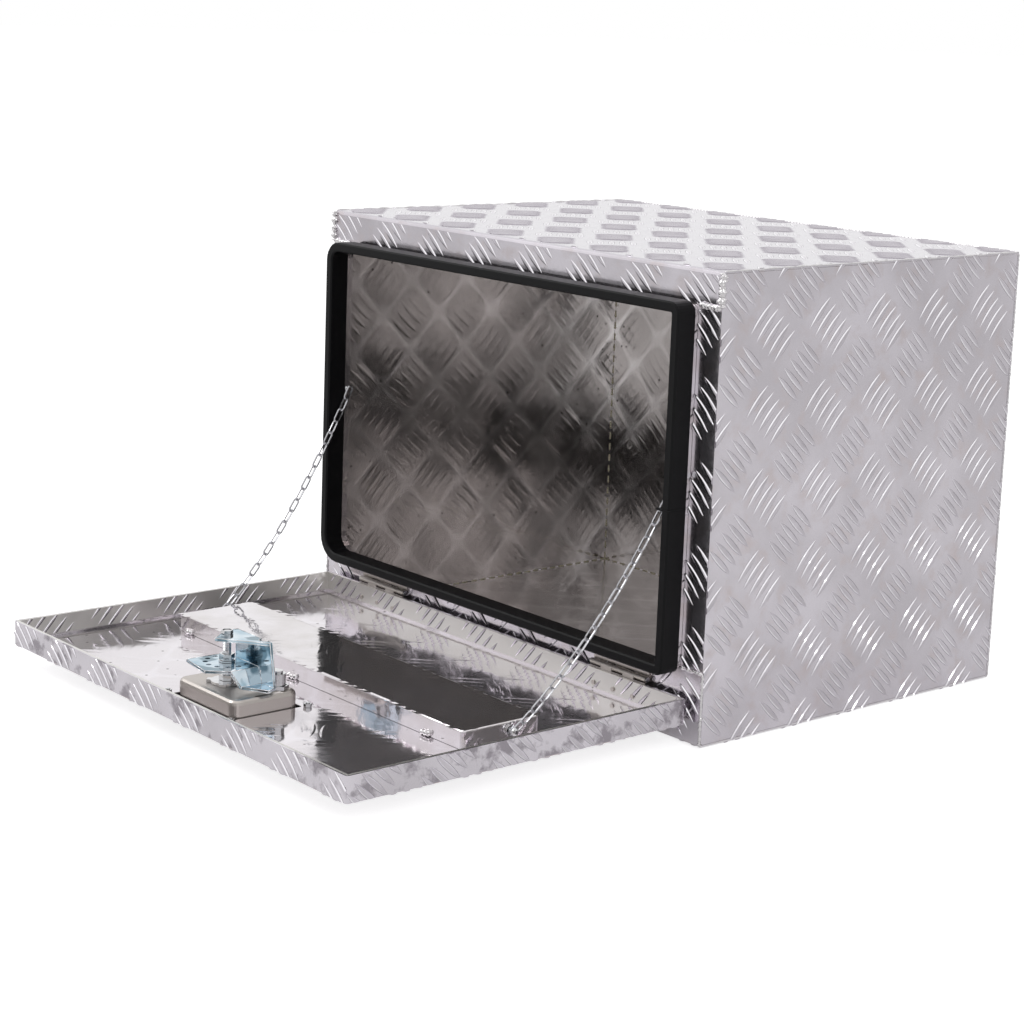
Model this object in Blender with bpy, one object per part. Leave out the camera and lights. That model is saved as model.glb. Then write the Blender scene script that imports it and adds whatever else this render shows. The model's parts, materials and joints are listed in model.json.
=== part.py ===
"""Underbody truck tool box with a drop-down door, in metres, +Z up, door towards -Y.

The origin is the centre of the box's bottom face. The door is modelled open, level with
the ground, held by two slack link chains. Each moving piece is parented to an empty on
the axis that it turns about.
"""

import math

import bmesh
import bpy
from mathutils import Matrix, Vector

# Box shell
BOX_WIDTH = 0.610
BOX_DEPTH = 0.432
BOX_HEIGHT = 0.457
BOX_SHEET = 0.002
BOX_BEND_RADIUS = 0.004
SEAT_GAP = 0.0003
CUT_OVERRUN = 0.002
FUSE_OVERLAP = 0.0005

# Opening and the collar that stands out round it
SIDE_JAMB = 0.030
LOWER_LIP = 0.0725
UPPER_LIP = 0.0345
COLLAR_STAND = 0.024
COLLAR_SHEET = 0.002
COLLAR_RADIUS_TOP_LEFT = 0.016
COLLAR_RADIUS_BOTTOM_LEFT = 0.024
COLLAR_RADIUS_TOP_RIGHT = 0.008
COLLAR_RADIUS_BOTTOM_RIGHT = 0.004
SHARPEST_RADIUS = 0.0004

# Rubber seal pushed on the collar's edge
SEAL_WALL = 0.004
SEAL_NOSE = 0.0063
SEAL_REACH = 0.016
SEAL_EDGE_RADIUS = 0.0015

# Door pan, a tray with hemmed edges
DOOR_FROM_SIDE = 0.013
DOOR_LENGTH = 0.398
DOOR_SHEET = 0.002
DOOR_RIM = 0.025
DOOR_HEM_DEPTH = 0.0196
DOOR_CORNER_RADIUS = 0.003
DOOR_SEAL_GAP = 0.0006

# Two butt hinges
HINGE_LENGTH = 0.080
HINGE_FROM_SIDE = 0.111
HINGE_BELOW_OPENING = 0.022
HINGE_KNUCKLES = 5
KNUCKLE_RADIUS = 0.0031
KNUCKLE_GAP = 0.0003
PIN_RADIUS = 0.0015
PIN_RUNNING_GAP = 0.00008
PIN_HEAD_RADIUS = 0.0024
PIN_HEAD_LENGTH = 0.001
LEAF_SHEET = 0.0012
BOX_LEAF_HEIGHT = 0.0145
DOOR_LEAF_DROP = 0.0245
HINGE_RIVETS = 3
HINGE_RIVET_PITCH = 0.0285
BOX_RIVET_HEIGHT = 0.0095
DOOR_RIVET_DROP = 0.0185

# Rivets
RIVET_HEAD_RADIUS = 0.0030
RIVET_HEAD_HEIGHT = 0.0014
RIVET_SHANK_RADIUS = 0.0016
RIVET_TAIL_RADIUS = 0.0024
RIVET_TAIL_HEIGHT = 0.0010
HOLE_CLEARANCE = 0.0003
DOME_SHARES = ((1.0, 0.0), (0.96, 0.35), (0.80, 0.72), (0.45, 1.0))

# Stiffener channel across the door
STIFFENER_FROM_SIDE = 0.065
STIFFENER_WIDTH = 0.092
STIFFENER_HEIGHT = 0.018
STIFFENER_SHEET = 0.002
STIFFENER_EDGE_RADIUS = 0.002
STIFFENER_CORNER_RADIUS = 0.004
STIFFENER_FROM_HINGE = 0.142
TACK_RADIUS = 0.0026
TACK_LENGTH = 0.013
TACK_SHARES = ((0.35, -1.0), (0.9, -0.6), (0.9, 0.6), (0.35, 1.0))
TACK_FRONT_SHARES = (-0.92, -0.12, 0.78)
TACK_REAR_SHARES = (-0.86, -0.24, 0.30, 0.88)

# Recessed latch pan
PAN_LENGTH = 0.100
PAN_WIDTH = 0.075
PAN_RISE = 0.017
PAN_SHEET = 0.0015
PAN_CORNER_RADIUS = 0.009
PAN_EDGE_RADIUS = 0.005
PAN_FLANGE = 0.011
PAN_FLANGE_RADIUS = 0.010
PAN_FROM_HINGE = 0.319
PAN_CUTOUT_GAP = 0.002
PAN_CUTOUT_RADIUS = 0.002
GASKET_SHEET = 0.001
GASKET_MARGIN = 0.0006
GASKET_INNER_GAP = 0.0005
GASKET_INNER_RADIUS = 0.0095
PAN_SCREW_OFFSET_X = 0.0555
PAN_SCREW_OFFSET_Y = 0.0435
PAN_SCREW_RADIUS = 0.002
PAN_SCREW_HEAD_RADIUS = 0.0038
PAN_SCREW_HEAD_HEIGHT = 0.0018
PAN_SCREW_END = 0.0012
PAN_NUT_FLATS = 0.007
PAN_NUT_HEIGHT = 0.0032

# Latch spindle and what is threaded on it
SPINDLE_OFFSET_X = -0.007
SPINDLE_OFFSET_Y = -0.008
SPINDLE_RADIUS = 0.004
SPINDLE_RISE = 0.0515
SPINDLE_BOSS_RADIUS = 0.007
SPINDLE_BOSS_HEIGHT = 0.006
TANG_WIDTH = 0.009
TANG_THICKNESS = 0.004
HANDLE_PIN_DEPTH = 0.015
RING_RADIUS = 0.0155
RING_THICKNESS = 0.0026
RING_TABS = 4
RING_TAB_WIDTH = 0.007
RING_TAB_REACH = 0.0035
HOUSING_NUT_FLATS = 0.013
HOUSING_NUT_HEIGHT = 0.005
THREADED_GAP = 0.0003

# Pawl bracket, one bent sheet round the spindle
PAWL_SHEET = 0.0025
PAWL_PLATE_RISE = 0.021
PAWL_PLATE_FRONT_LEFT = (-0.0265, -0.0285)
PAWL_PLATE_FRONT = (0.016, -0.035)
PAWL_PLATE_FRONT_RIGHT = (0.0315, -0.016)
PAWL_PLATE_LEFT = (-0.025, 0.006)
PAWL_WEB_Y = 0.0155
PAWL_WEB_LEFT = -0.008
PAWL_WEB_TOP_RIGHT = 0.050
PAWL_WEB_FOOT_RIGHT = 0.0575
PAWL_FOOT_RISE = 0.0061
PAWL_RAMP_FOOT_X = 0.0375
PAWL_RAMP_FOOT_Y = -0.008
PAWL_FOOT_CORNER = (0.061, 0.007)
PAWL_TOP_RISE = 0.0484
PAWL_TOP_TIP = (0.008, -0.019)
PAWL_TOP_LEFT = (-0.012, 0.006)
PAWL_TOP_NOTCH_RADIUS = 0.006
PAWL_TOP_NOTCH_X = 0.038
PAWL_INDEX_HOLES = 12
PAWL_INDEX_RADIUS = 0.0205
PAWL_INDEX_HOLE_RADIUS = 0.0026
PAWL_INDEX_LIMIT = 0.0150
WASHER_RADIUS = 0.008
WASHER_THICKNESS = 0.0015
PAWL_NUT_FLATS = 0.013
PAWL_NUT_HEIGHT = 0.006
PAWL_THIN_NUT_HEIGHT = 0.003
TOP_NUT_FLATS = 0.010
TOP_NUT_HEIGHT = 0.0035

# Folding T-handle in the pan's recess
HANDLE_THICKNESS = 0.0065
HANDLE_CHEEK = 0.003
HANDLE_STEM_REACH = 0.014
HANDLE_BAR_WIDTH = 0.0075
HANDLE_BAR_LENGTH = 0.034
HANDLE_BAR_RADIUS = 0.003
HANDLE_PIN_RADIUS = 0.0015

# Key lock beside the spindle
LOCK_OFFSET_X = 0.036
LOCK_OFFSET_Y = 0.022
LOCK_BODY_RADIUS = 0.0075
LOCK_BODY_RISE = 0.0155
LOCK_FACE_RADIUS = 0.0095
LOCK_FACE_THICKNESS = 0.0022
LOCK_NUT_FLATS = 0.0185
LOCK_NUT_HEIGHT = 0.0035
PLUG_RADIUS = 0.0048
PLUG_RUNNING_GAP = 0.00009
PLUG_STAND = 0.0008
CAM_THICKNESS = 0.0022
CAM_REACH = 0.009
CAM_WIDTH = 0.007

# Link chains
LINK_WIRE_RADIUS = 0.001
LINK_INNER_WIDTH = 0.0045
LINK_PITCH = 0.0141
LINK_BITE = 0.00015
CHAIN_RIVET_RADIUS = 0.0019
CHAIN_RIVET_HEAD_RADIUS = 0.0042
CHAIN_RIVET_HEAD_HEIGHT = 0.002
CHAIN_RIVET_TAIL_RADIUS = 0.003
CHAIN_BOX_HEAD_RADIUS = 0.0036
CHAIN_WASHER_RADIUS = 0.0055
CHAIN_WASHER_THICKNESS = 0.0015
CHAIN_DOOR_STAND = 0.006
CHAIN_BOX_STAND = 0.0087
CHAIN_BOX_SETBACK = 0.004
CHAIN_BOX_HEIGHT = 0.261
CHAIN_DOOR_INSET = 0.036
CHAIN_DOOR_RISE = 0.0095

# Facets
CORNER_SEGMENTS = 6
EDGE_SEGMENTS = 3
ROUND_SEGMENTS = 16
SMALL_SEGMENTS = 12
LINK_BEND_SEGMENTS = 5
TACK_SEGMENTS = 8
LINK_SIDES = 5
CURVE_SAMPLES = 200
BISECTIONS = 60
SMOOTH_ANGLE = math.radians(35)

# Places that follow from the sizes above
HALF_WIDTH = BOX_WIDTH / 2
FRONT_Y = -BOX_DEPTH / 2
BACK_Y = BOX_DEPTH / 2
OPENING_HALF = HALF_WIDTH - SIDE_JAMB
OPENING_LOW = LOWER_LIP
OPENING_HIGH = BOX_HEIGHT - UPPER_LIP
COLLAR_RADII = (
    COLLAR_RADIUS_BOTTOM_LEFT,
    COLLAR_RADIUS_BOTTOM_RIGHT,
    COLLAR_RADIUS_TOP_RIGHT,
    COLLAR_RADIUS_TOP_LEFT,
)
COLLAR_FRONT_Y = FRONT_Y - COLLAR_STAND
SEAL_FRONT_Y = COLLAR_FRONT_Y - SEAL_NOSE
SEAL_BACK_Y = COLLAR_FRONT_Y + SEAL_REACH

HINGE_Y = FRONT_Y - SEAT_GAP - LEAF_SHEET / 2 - KNUCKLE_RADIUS
HINGE_Z = OPENING_LOW - HINGE_BELOW_OPENING
HINGE_X = HALF_WIDTH - HINGE_FROM_SIDE
DOOR_HALF = HALF_WIDTH - DOOR_FROM_SIDE
DOOR_BACK_Y = HINGE_Y - KNUCKLE_RADIUS - SEAT_GAP
DOOR_FRONT_Y = DOOR_BACK_Y - DOOR_LENGTH
DOOR_FLOOR_Z = HINGE_Z - (HINGE_Y - SEAL_FRONT_Y) - DOOR_SEAL_GAP
DOOR_SKIN_Z = DOOR_FLOOR_Z - DOOR_SHEET
DOOR_RIM_Z = DOOR_SKIN_Z + DOOR_RIM
DOOR_RIM_SHEET = 2 * DOOR_SHEET

STIFFENER_BACK_Y = HINGE_Y - STIFFENER_FROM_HINGE
STIFFENER_FRONT_Y = STIFFENER_BACK_Y - STIFFENER_WIDTH
STIFFENER_FOOT_Z = DOOR_FLOOR_Z + SEAT_GAP
STIFFENER_TOP_Z = STIFFENER_FOOT_Z + STIFFENER_HEIGHT
STIFFENER_HALF = HALF_WIDTH - STIFFENER_FROM_SIDE

PAN_Y = HINGE_Y - PAN_FROM_HINGE
PAN_TOP_Z = DOOR_FLOOR_Z + PAN_RISE
PAN_CEILING_Z = PAN_TOP_Z - PAN_SHEET
GASKET_TOP_Z = DOOR_SKIN_Z - SEAT_GAP
GASKET_LOW_Z = GASKET_TOP_Z - GASKET_SHEET
PAN_FLANGE_TOP_Z = GASKET_LOW_Z - SEAT_GAP
PAN_FLANGE_LOW_Z = PAN_FLANGE_TOP_Z - PAN_SHEET
CUTOUT_HALF_X = PAN_LENGTH / 2 + PAN_CUTOUT_GAP
CUTOUT_HALF_Y = PAN_WIDTH / 2 + PAN_CUTOUT_GAP

SPINDLE_X = SPINDLE_OFFSET_X
SPINDLE_Y = PAN_Y + SPINDLE_OFFSET_Y
SPINDLE_TOP_Z = PAN_TOP_Z + SPINDLE_RISE
HANDLE_PIN_Z = PAN_CEILING_Z - HANDLE_PIN_DEPTH
LOCK_X = LOCK_OFFSET_X
LOCK_Y = PAN_Y + LOCK_OFFSET_Y

LINK_INNER_LENGTH = LINK_PITCH - LINK_BITE
BEND_LINK_INNER_LENGTH = LINK_PITCH + LINK_BITE + 2 * SEAT_GAP
LINK_END_REACH = LINK_INNER_LENGTH / 2 - CHAIN_RIVET_RADIUS - SEAT_GAP
CHAIN_BOX_END = Vector((
    OPENING_HALF - COLLAR_SHEET - CHAIN_BOX_STAND,
    FRONT_Y - CHAIN_BOX_SETBACK,
    CHAIN_BOX_HEIGHT,
))
CHAIN_DOOR_END = Vector((
    STIFFENER_HALF + CHAIN_DOOR_STAND,
    STIFFENER_BACK_Y - CHAIN_DOOR_INSET,
    DOOR_FLOOR_Z + CHAIN_DOOR_RISE,
))
CHAIN_SPAN = (CHAIN_BOX_END - CHAIN_DOOR_END).length
CHAIN_LINKS = 2 * math.ceil((CHAIN_SPAN - 2 * LINK_END_REACH) / (2 * LINK_PITCH)) + 1
CHAIN_BEND_LINK = 2 * round(CHAIN_LINKS / 4)
CHAIN_LENGTH = (CHAIN_LINKS - 1) * LINK_PITCH + 2 * LINK_END_REACH

X_AXIS = Vector((1, 0, 0))
Y_AXIS = Vector((0, 1, 0))
Z_AXIS = Vector((0, 0, 1))
ORIGIN = Vector((0, 0, 0))
SIDES = (("left", -1), ("right", 1))


def clear_scene():
    for item in list(bpy.data.objects):
        bpy.data.objects.remove(item, do_unlink=True)


def make_material(name, colour, roughness, metallic):
    material = bpy.data.materials.new(name)
    material.use_nodes = True
    surface = material.node_tree.nodes["Principled BSDF"]
    surface.inputs["Base Color"].default_value = (*colour, 1)
    surface.inputs["Roughness"].default_value = roughness
    surface.inputs["Metallic"].default_value = metallic
    material.diffuse_color = (*colour, 1)
    return material


def make_materials():
    return {
        "aluminium": make_material("bright_aluminium_sheet", (0.80, 0.79, 0.82), 0.28, 1.0),
        "tread": make_material("bright_tread_aluminium", (0.84, 0.83, 0.87), 0.25, 1.0),
        "rubber": make_material("black_seal_rubber", (0.02, 0.02, 0.02), 0.55, 0.0),
        "zinc": make_material("blue_zinc_plate", (0.55, 0.64, 0.70), 0.25, 1.0),
        "stainless": make_material("brushed_stainless_pan", (0.58, 0.55, 0.53), 0.32, 1.0),
        "chain": make_material("zinc_chain_wire", (0.72, 0.73, 0.75), 0.3, 1.0),
        "rivet": make_material("aluminium_rivet", (0.75, 0.75, 0.77), 0.35, 1.0),
    }


def make_axis(name, place, parent=None):
    """An empty at a world place, which moving pieces are parented to."""
    empty = bpy.data.objects.new(name, None)
    bpy.context.scene.collection.objects.link(empty)
    empty.parent = parent
    empty.location = place - world_place(parent)
    return empty


def world_place(item):
    """Where an object stands in the world; nothing here is turned at rest."""
    place = ORIGIN.copy()
    while item is not None:
        place += item.location
        item = item.parent
    return place


def make_object(name, shape, material, origin=ORIGIN, parent=None):
    """Turn a bmesh drawn in world places into an object with its own origin."""
    bmesh.ops.recalc_face_normals(shape, faces=shape.faces)
    bmesh.ops.translate(shape, verts=shape.verts, vec=-origin)
    mesh = bpy.data.meshes.new(name)
    shape.to_mesh(mesh)
    shape.free()
    mesh.shade_smooth()
    mesh.set_sharp_from_angle(angle=SMOOTH_ANGLE)
    item = bpy.data.objects.new(name, mesh)
    bpy.context.scene.collection.objects.link(item)
    item.parent = parent
    item.location = origin - world_place(parent)
    if material is not None:
        mesh.materials.append(material)
    return item


def make_tool(name, shape, origin=ORIGIN, parent=None):
    """A hidden solid that another piece is cut or joined with."""
    item = make_object(name, shape, None, origin, parent)
    item.hide_render = True
    item.display_type = "WIRE"
    return item


def combine(item, tool, operation):
    modifier = item.modifiers.new(tool.name, "BOOLEAN")
    modifier.operation = operation
    modifier.solver = "EXACT"
    modifier.object = tool


def cut(item, *tools):
    for tool in tools:
        combine(item, tool, "DIFFERENCE")


def fuse(item, *tools):
    for tool in tools:
        combine(item, tool, "UNION")


def skin(shape, loops, ring=False):
    """Join loops of equal length with quads; a ring meets itself, others are capped."""
    rows = [[shape.verts.new(point) for point in loop] for loop in loops]
    count = len(rows[0])
    pairs = list(zip(rows, rows[1:]))
    if ring:
        pairs.append((rows[-1], rows[0]))
    for near, far in pairs:
        for index in range(count):
            after = (index + 1) % count
            shape.faces.new((near[index], near[after], far[after], far[index]))
    if not ring:
        shape.faces.new(rows[0][::-1])
        shape.faces.new(rows[-1])
    return shape


def arc(centre_x, centre_y, radius, start, end, segments):
    """Points on an arc, both ends included; angles in quarter turns."""
    points = []
    for step in range(segments + 1):
        angle = math.pi / 2 * (start + (end - start) * step / segments)
        points.append((centre_x + radius * math.cos(angle), centre_y + radius * math.sin(angle)))
    return points


def rounded_rectangle(left, right, low, high, radii, segments=CORNER_SEGMENTS):
    """Outline, anticlockwise; radii in the order low left, low right, high right, high left."""
    low_left, low_right, high_right, high_left = radii
    points = arc(left + low_left, low + low_left, low_left, 2, 3, segments)
    points += arc(right - low_right, low + low_right, low_right, 3, 4, segments)
    points += arc(right - high_right, high - high_right, high_right, 0, 1, segments)
    points += arc(left + high_left, high - high_left, high_left, 1, 2, segments)
    return points


def plan(points, height):
    return [Vector((x, y, height)) for x, y in points]


def front(points, depth):
    return [Vector((x, depth, z)) for x, z in points]


def side(points, across):
    return [Vector((across, y, z)) for y, z in points]


def prism(shape, points, to_space, low, high):
    """An outline drawn in a plane and pushed from one place to another."""
    return skin(shape, [to_space(points, low), to_space(points, high)])


def box(shape, low, high):
    outline = ((low[0], low[1]), (high[0], low[1]), (high[0], high[1]), (low[0], high[1]))
    return prism(shape, outline, plan, low[2], high[2])


def circle(radius, segments, turn=0.0):
    step = 2 * math.pi / segments
    angles = [turn + step * index for index in range(segments)]
    return [(radius * math.cos(angle), radius * math.sin(angle)) for angle in angles]


def across_axis(axis):
    """Two unit directions square to an axis along X, Y or Z."""
    if abs(axis.z) > abs(axis.x) and abs(axis.z) > abs(axis.y):
        return X_AXIS, Y_AXIS
    if abs(axis.x) > abs(axis.y):
        return Y_AXIS, Z_AXIS
    return Z_AXIS, X_AXIS


def turned(shape, profile, centre, axis, segments=ROUND_SEGMENTS, ring=False, turn=0.0):
    """Revolve (radius, distance along the axis) steps about an axis through a point."""
    first, second = across_axis(axis)
    loops = []
    for radius, distance in profile:
        base = centre + axis * distance
        outline = circle(radius, segments, turn)
        loops.append([base + first * x + second * y for x, y in outline])
    return skin(shape, loops, ring)


def rod(shape, centre, axis, radius, low, high, segments=ROUND_SEGMENTS):
    return turned(shape, ((radius, low), (radius, high)), centre, axis, segments)


def tube(shape, centre, axis, outer, inner, low, high, segments=ROUND_SEGMENTS):
    profile = ((outer, low), (outer, high), (inner, high), (inner, low))
    return turned(shape, profile, centre, axis, segments, ring=True)


def hex_nut(shape, centre, axis, flats, bore, low, high):
    """A six-sided nut: each bore corner faces a corner of the hexagon."""
    outer = flats / 2 / math.cos(math.pi / 6)
    profile = ((outer, low), (outer, high), (bore, high), (bore, low))
    return turned(shape, profile, centre, axis, 6, ring=True)


def rivet(shape, centre, axis, grip, shank=RIVET_SHANK_RADIUS, head=RIVET_HEAD_RADIUS,
          head_height=RIVET_HEAD_HEIGHT, tail=RIVET_TAIL_RADIUS):
    """A rivet whose dome head points along the axis, from its seat at the centre."""
    profile = [(tail, -grip - RIVET_TAIL_HEIGHT), (tail, -grip), (shank, -grip), (shank, 0)]
    profile += [(head * wide, head_height * high) for wide, high in DOME_SHARES]
    return turned(shape, profile, centre, axis, SMALL_SEGMENTS)


def bent_corner(y_outer, z_outer, y_sign, z_sign, radius, segments=EDGE_SEGMENTS):
    """Points of a bend's outer arc from the level sheet to the upright one."""
    points = []
    for step in range(segments + 1):
        angle = math.pi / 2 * step / segments
        y = y_outer - y_sign * radius * (1 - math.sin(angle))
        z = z_outer - z_sign * radius * (1 - math.cos(angle))
        points.append((y, z))
    return points


def folded_sheet_profile(back, front_face, level, z_sign, lip_end):
    """Section of a level sheet with one edge folded towards the opening."""
    inner_front = front_face + BOX_SHEET
    inner_level = level - z_sign * BOX_SHEET
    outer = bent_corner(front_face, level, -1, z_sign, BOX_BEND_RADIUS)
    inner_radius = BOX_BEND_RADIUS - BOX_SHEET
    inner = bent_corner(inner_front, inner_level, -1, z_sign, inner_radius)
    points = [(back, level)] + outer + [(front_face, lip_end)]
    points += [(inner_front, lip_end)] + inner[::-1] + [(back, inner_level)]
    return points


def box_shell(materials):
    metal = materials["tread"]
    top = bmesh.new()
    section = folded_sheet_profile(BACK_Y, FRONT_Y, BOX_HEIGHT, 1, OPENING_HIGH + SEAT_GAP)
    prism(top, section, side, -HALF_WIDTH, HALF_WIDTH)
    make_object("top_panel", top, metal, Vector((0, 0, BOX_HEIGHT)))

    bottom = bmesh.new()
    section = folded_sheet_profile(BACK_Y, FRONT_Y, 0, -1, OPENING_LOW - SEAT_GAP)
    prism(bottom, section, side, -HALF_WIDTH, HALF_WIDTH)
    bottom_panel = make_object("bottom_panel", bottom, metal)
    cut(bottom_panel, box_hinge_holes())

    for name, sign in SIDES:
        side_panel(name, sign, metal)

    back = bmesh.new()
    low = (-HALF_WIDTH, BACK_Y - BOX_SHEET, BOX_SHEET + SEAT_GAP)
    high = (HALF_WIDTH, BACK_Y, BOX_HEIGHT - BOX_SHEET - SEAT_GAP)
    box(back, low, high)
    make_object("back_panel", back, metal, Vector((0, BACK_Y, BOX_HEIGHT / 2)))


def side_panel(name, sign, metal):
    """A side sheet with the jamb folded inwards beside the opening."""
    outer = sign * HALF_WIDTH
    inner = sign * (HALF_WIDTH - BOX_SHEET)
    lip_back = FRONT_Y + BOX_SHEET + SEAT_GAP
    back = BACK_Y - BOX_SHEET - SEAT_GAP
    low_z = BOX_SHEET + SEAT_GAP
    high_z = BOX_HEIGHT - BOX_SHEET - SEAT_GAP
    chamfer = BOX_BEND_RADIUS - BOX_SHEET
    outline = (
        (lip_back, low_z + chamfer),
        (lip_back + chamfer, low_z),
        (back, low_z),
        (back, high_z),
        (lip_back + chamfer, high_z),
        (lip_back, high_z - chamfer),
        (lip_back, OPENING_HIGH),
        (FRONT_Y, OPENING_HIGH),
        (FRONT_Y, OPENING_LOW),
        (lip_back, OPENING_LOW),
    )
    sheet = bmesh.new()
    prism(sheet, outline, side, inner, outer)
    origin = Vector((outer, 0, BOX_HEIGHT / 2))
    panel = make_object("side_panel_" + name, sheet, metal, origin)
    jamb = bmesh.new()
    prism(jamb, jamb_outline(sign), front, FRONT_Y, FRONT_Y + BOX_SHEET)
    fuse(panel, make_tool("jamb_" + name, jamb, origin))


def jamb_outline(sign):
    """The jamb between the lips, with hollow corners that follow the collar."""
    edge = OPENING_HALF + SEAT_GAP
    low_radius = COLLAR_RADIUS_BOTTOM_LEFT if sign < 0 else COLLAR_RADIUS_BOTTOM_RIGHT
    high_radius = COLLAR_RADIUS_TOP_LEFT if sign < 0 else COLLAR_RADIUS_TOP_RIGHT
    outer = HALF_WIDTH - BOX_SHEET / 2
    points = [(outer, OPENING_LOW), (outer, OPENING_HIGH)]
    reach = high_radius + SEAT_GAP
    start = math.asin(high_radius / reach) / (math.pi / 2)
    points += arc(edge - reach, OPENING_HIGH - high_radius, reach, start, 0, CORNER_SEGMENTS)
    reach = low_radius + SEAT_GAP
    end = -math.asin(low_radius / reach) / (math.pi / 2)
    points += arc(edge - reach, OPENING_LOW + low_radius, reach, 0, end, CORNER_SEGMENTS)
    return [(sign * x, z) for x, z in points]


def opening_loop(outwards, depth):
    """The opening's outline moved outwards by a distance, at one depth."""
    radii = [max(radius + outwards, SHARPEST_RADIUS) for radius in COLLAR_RADII]
    low = OPENING_LOW - outwards
    high = OPENING_HIGH + outwards
    half = OPENING_HALF + outwards
    return front(rounded_rectangle(-half, half, low, high, radii), depth)


def opening_ring(shape, section):
    return skin(shape, [opening_loop(out, depth) for out, depth in section], ring=True)


def collar_and_seal(materials):
    back = FRONT_Y + BOX_SHEET
    collar = bmesh.new()
    section = (
        (0, COLLAR_FRONT_Y),
        (0, back),
        (-COLLAR_SHEET, back),
        (-COLLAR_SHEET, COLLAR_FRONT_Y),
    )
    opening_ring(collar, section)
    middle = Vector((0, FRONT_Y, (OPENING_LOW + OPENING_HIGH) / 2))
    collar_item = make_object("opening_collar", collar, materials["aluminium"], middle)
    cut(collar_item, chain_box_holes())

    seal = bmesh.new()
    wall_out = SEAL_WALL
    wall_in = -COLLAR_SHEET - SEAL_WALL
    slot_out = SEAT_GAP
    slot_in = -COLLAR_SHEET - SEAT_GAP
    slot_end = COLLAR_FRONT_Y - SEAT_GAP
    nose = SEAL_EDGE_RADIUS
    nose_shoulder = SEAL_FRONT_Y + nose
    section = (
        (slot_out, SEAL_BACK_Y),
        (wall_out, SEAL_BACK_Y),
        (wall_out, nose_shoulder),
        (wall_out - nose, SEAL_FRONT_Y),
        (wall_in + nose, SEAL_FRONT_Y),
        (wall_in, nose_shoulder),
        (wall_in, SEAL_BACK_Y),
        (slot_in, SEAL_BACK_Y),
        (slot_in, slot_end),
        (slot_out, slot_end),
    )
    opening_ring(seal, section)
    make_object("door_seal", seal, materials["rubber"], middle)


def hinge_rivet_places():
    """Across places of the rivets of both hinges."""
    middle = (HINGE_RIVETS - 1) / 2
    places = []
    for _, sign in SIDES:
        centre = sign * HINGE_X
        places += [centre + (index - middle) * HINGE_RIVET_PITCH for index in range(HINGE_RIVETS)]
    return places


def hinge_holes(name, height, low_y, high_y, parent=None):
    """Clearance holes for the hinge rivets, along Y."""
    shape = bmesh.new()
    radius = RIVET_SHANK_RADIUS + HOLE_CLEARANCE
    for across in hinge_rivet_places():
        centre = Vector((across, 0, height))
        rod(shape, centre, Y_AXIS, radius, low_y, high_y, SMALL_SEGMENTS)
    return make_tool(name, shape, Vector((0, low_y, height)), parent)


def box_hinge_holes():
    height = HINGE_Z + BOX_RIVET_HEIGHT
    leaf_front = FRONT_Y - SEAT_GAP - LEAF_SHEET - CUT_OVERRUN
    lip_back = FRONT_Y + BOX_SHEET + CUT_OVERRUN
    return hinge_holes("box_hinge_holes", height, leaf_front, lip_back)


def door_hinge_holes(door_axis):
    height = HINGE_Z - DOOR_RIVET_DROP
    rim_inside = DOOR_BACK_Y - DOOR_RIM_SHEET - CUT_OVERRUN
    leaf_back = DOOR_BACK_Y + SEAT_GAP + LEAF_SHEET + CUT_OVERRUN
    return hinge_holes("door_hinge_holes", height, rim_inside, leaf_back, door_axis)


def knuckle_spans(first):
    """Start and end along the hinge of every second knuckle, from its middle."""
    pitch = HINGE_LENGTH / HINGE_KNUCKLES
    spans = []
    for index in range(first, HINGE_KNUCKLES, 2):
        start = index * pitch - HINGE_LENGTH / 2
        spans.append((start + KNUCKLE_GAP / 2, start + pitch - KNUCKLE_GAP / 2))
    return spans


def leaf_with_knuckles(name, centre_x, first, face_y, back_y, far_z, material, parent):
    """A hinge leaf: a plate, the tabs that reach the axis, and the rolled knuckles."""
    axis_point = Vector((centre_x, HINGE_Y, HINGE_Z))
    sign = 1 if far_z > HINGE_Z else -1
    near_z = HINGE_Z + sign * (KNUCKLE_RADIUS + KNUCKLE_GAP)
    plate = bmesh.new()
    low = (centre_x - HINGE_LENGTH / 2, face_y, min(near_z, far_z))
    high = (centre_x + HINGE_LENGTH / 2, back_y, max(near_z, far_z))
    box(plate, low, high)
    leaf = make_object(name, plate, material, axis_point, parent)
    for index, (start, end) in enumerate(knuckle_spans(first)):
        knuckle = bmesh.new()
        hole = PIN_RADIUS + PIN_RUNNING_GAP
        tube(knuckle, axis_point, X_AXIS, KNUCKLE_RADIUS, hole, start, end)
        knuckle_tool = make_tool(name + "_knuckle_" + str(index), knuckle, axis_point, parent)
        tab = bmesh.new()
        tab_z = near_z + sign * FUSE_OVERLAP
        low = (centre_x + start, face_y, min(HINGE_Z, tab_z))
        high = (centre_x + end, back_y, max(HINGE_Z, tab_z))
        box(tab, low, high)
        tab_tool = make_tool(name + "_tab_" + str(index), tab, axis_point, parent)
        fuse(leaf, tab_tool, knuckle_tool)
    return leaf


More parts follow.
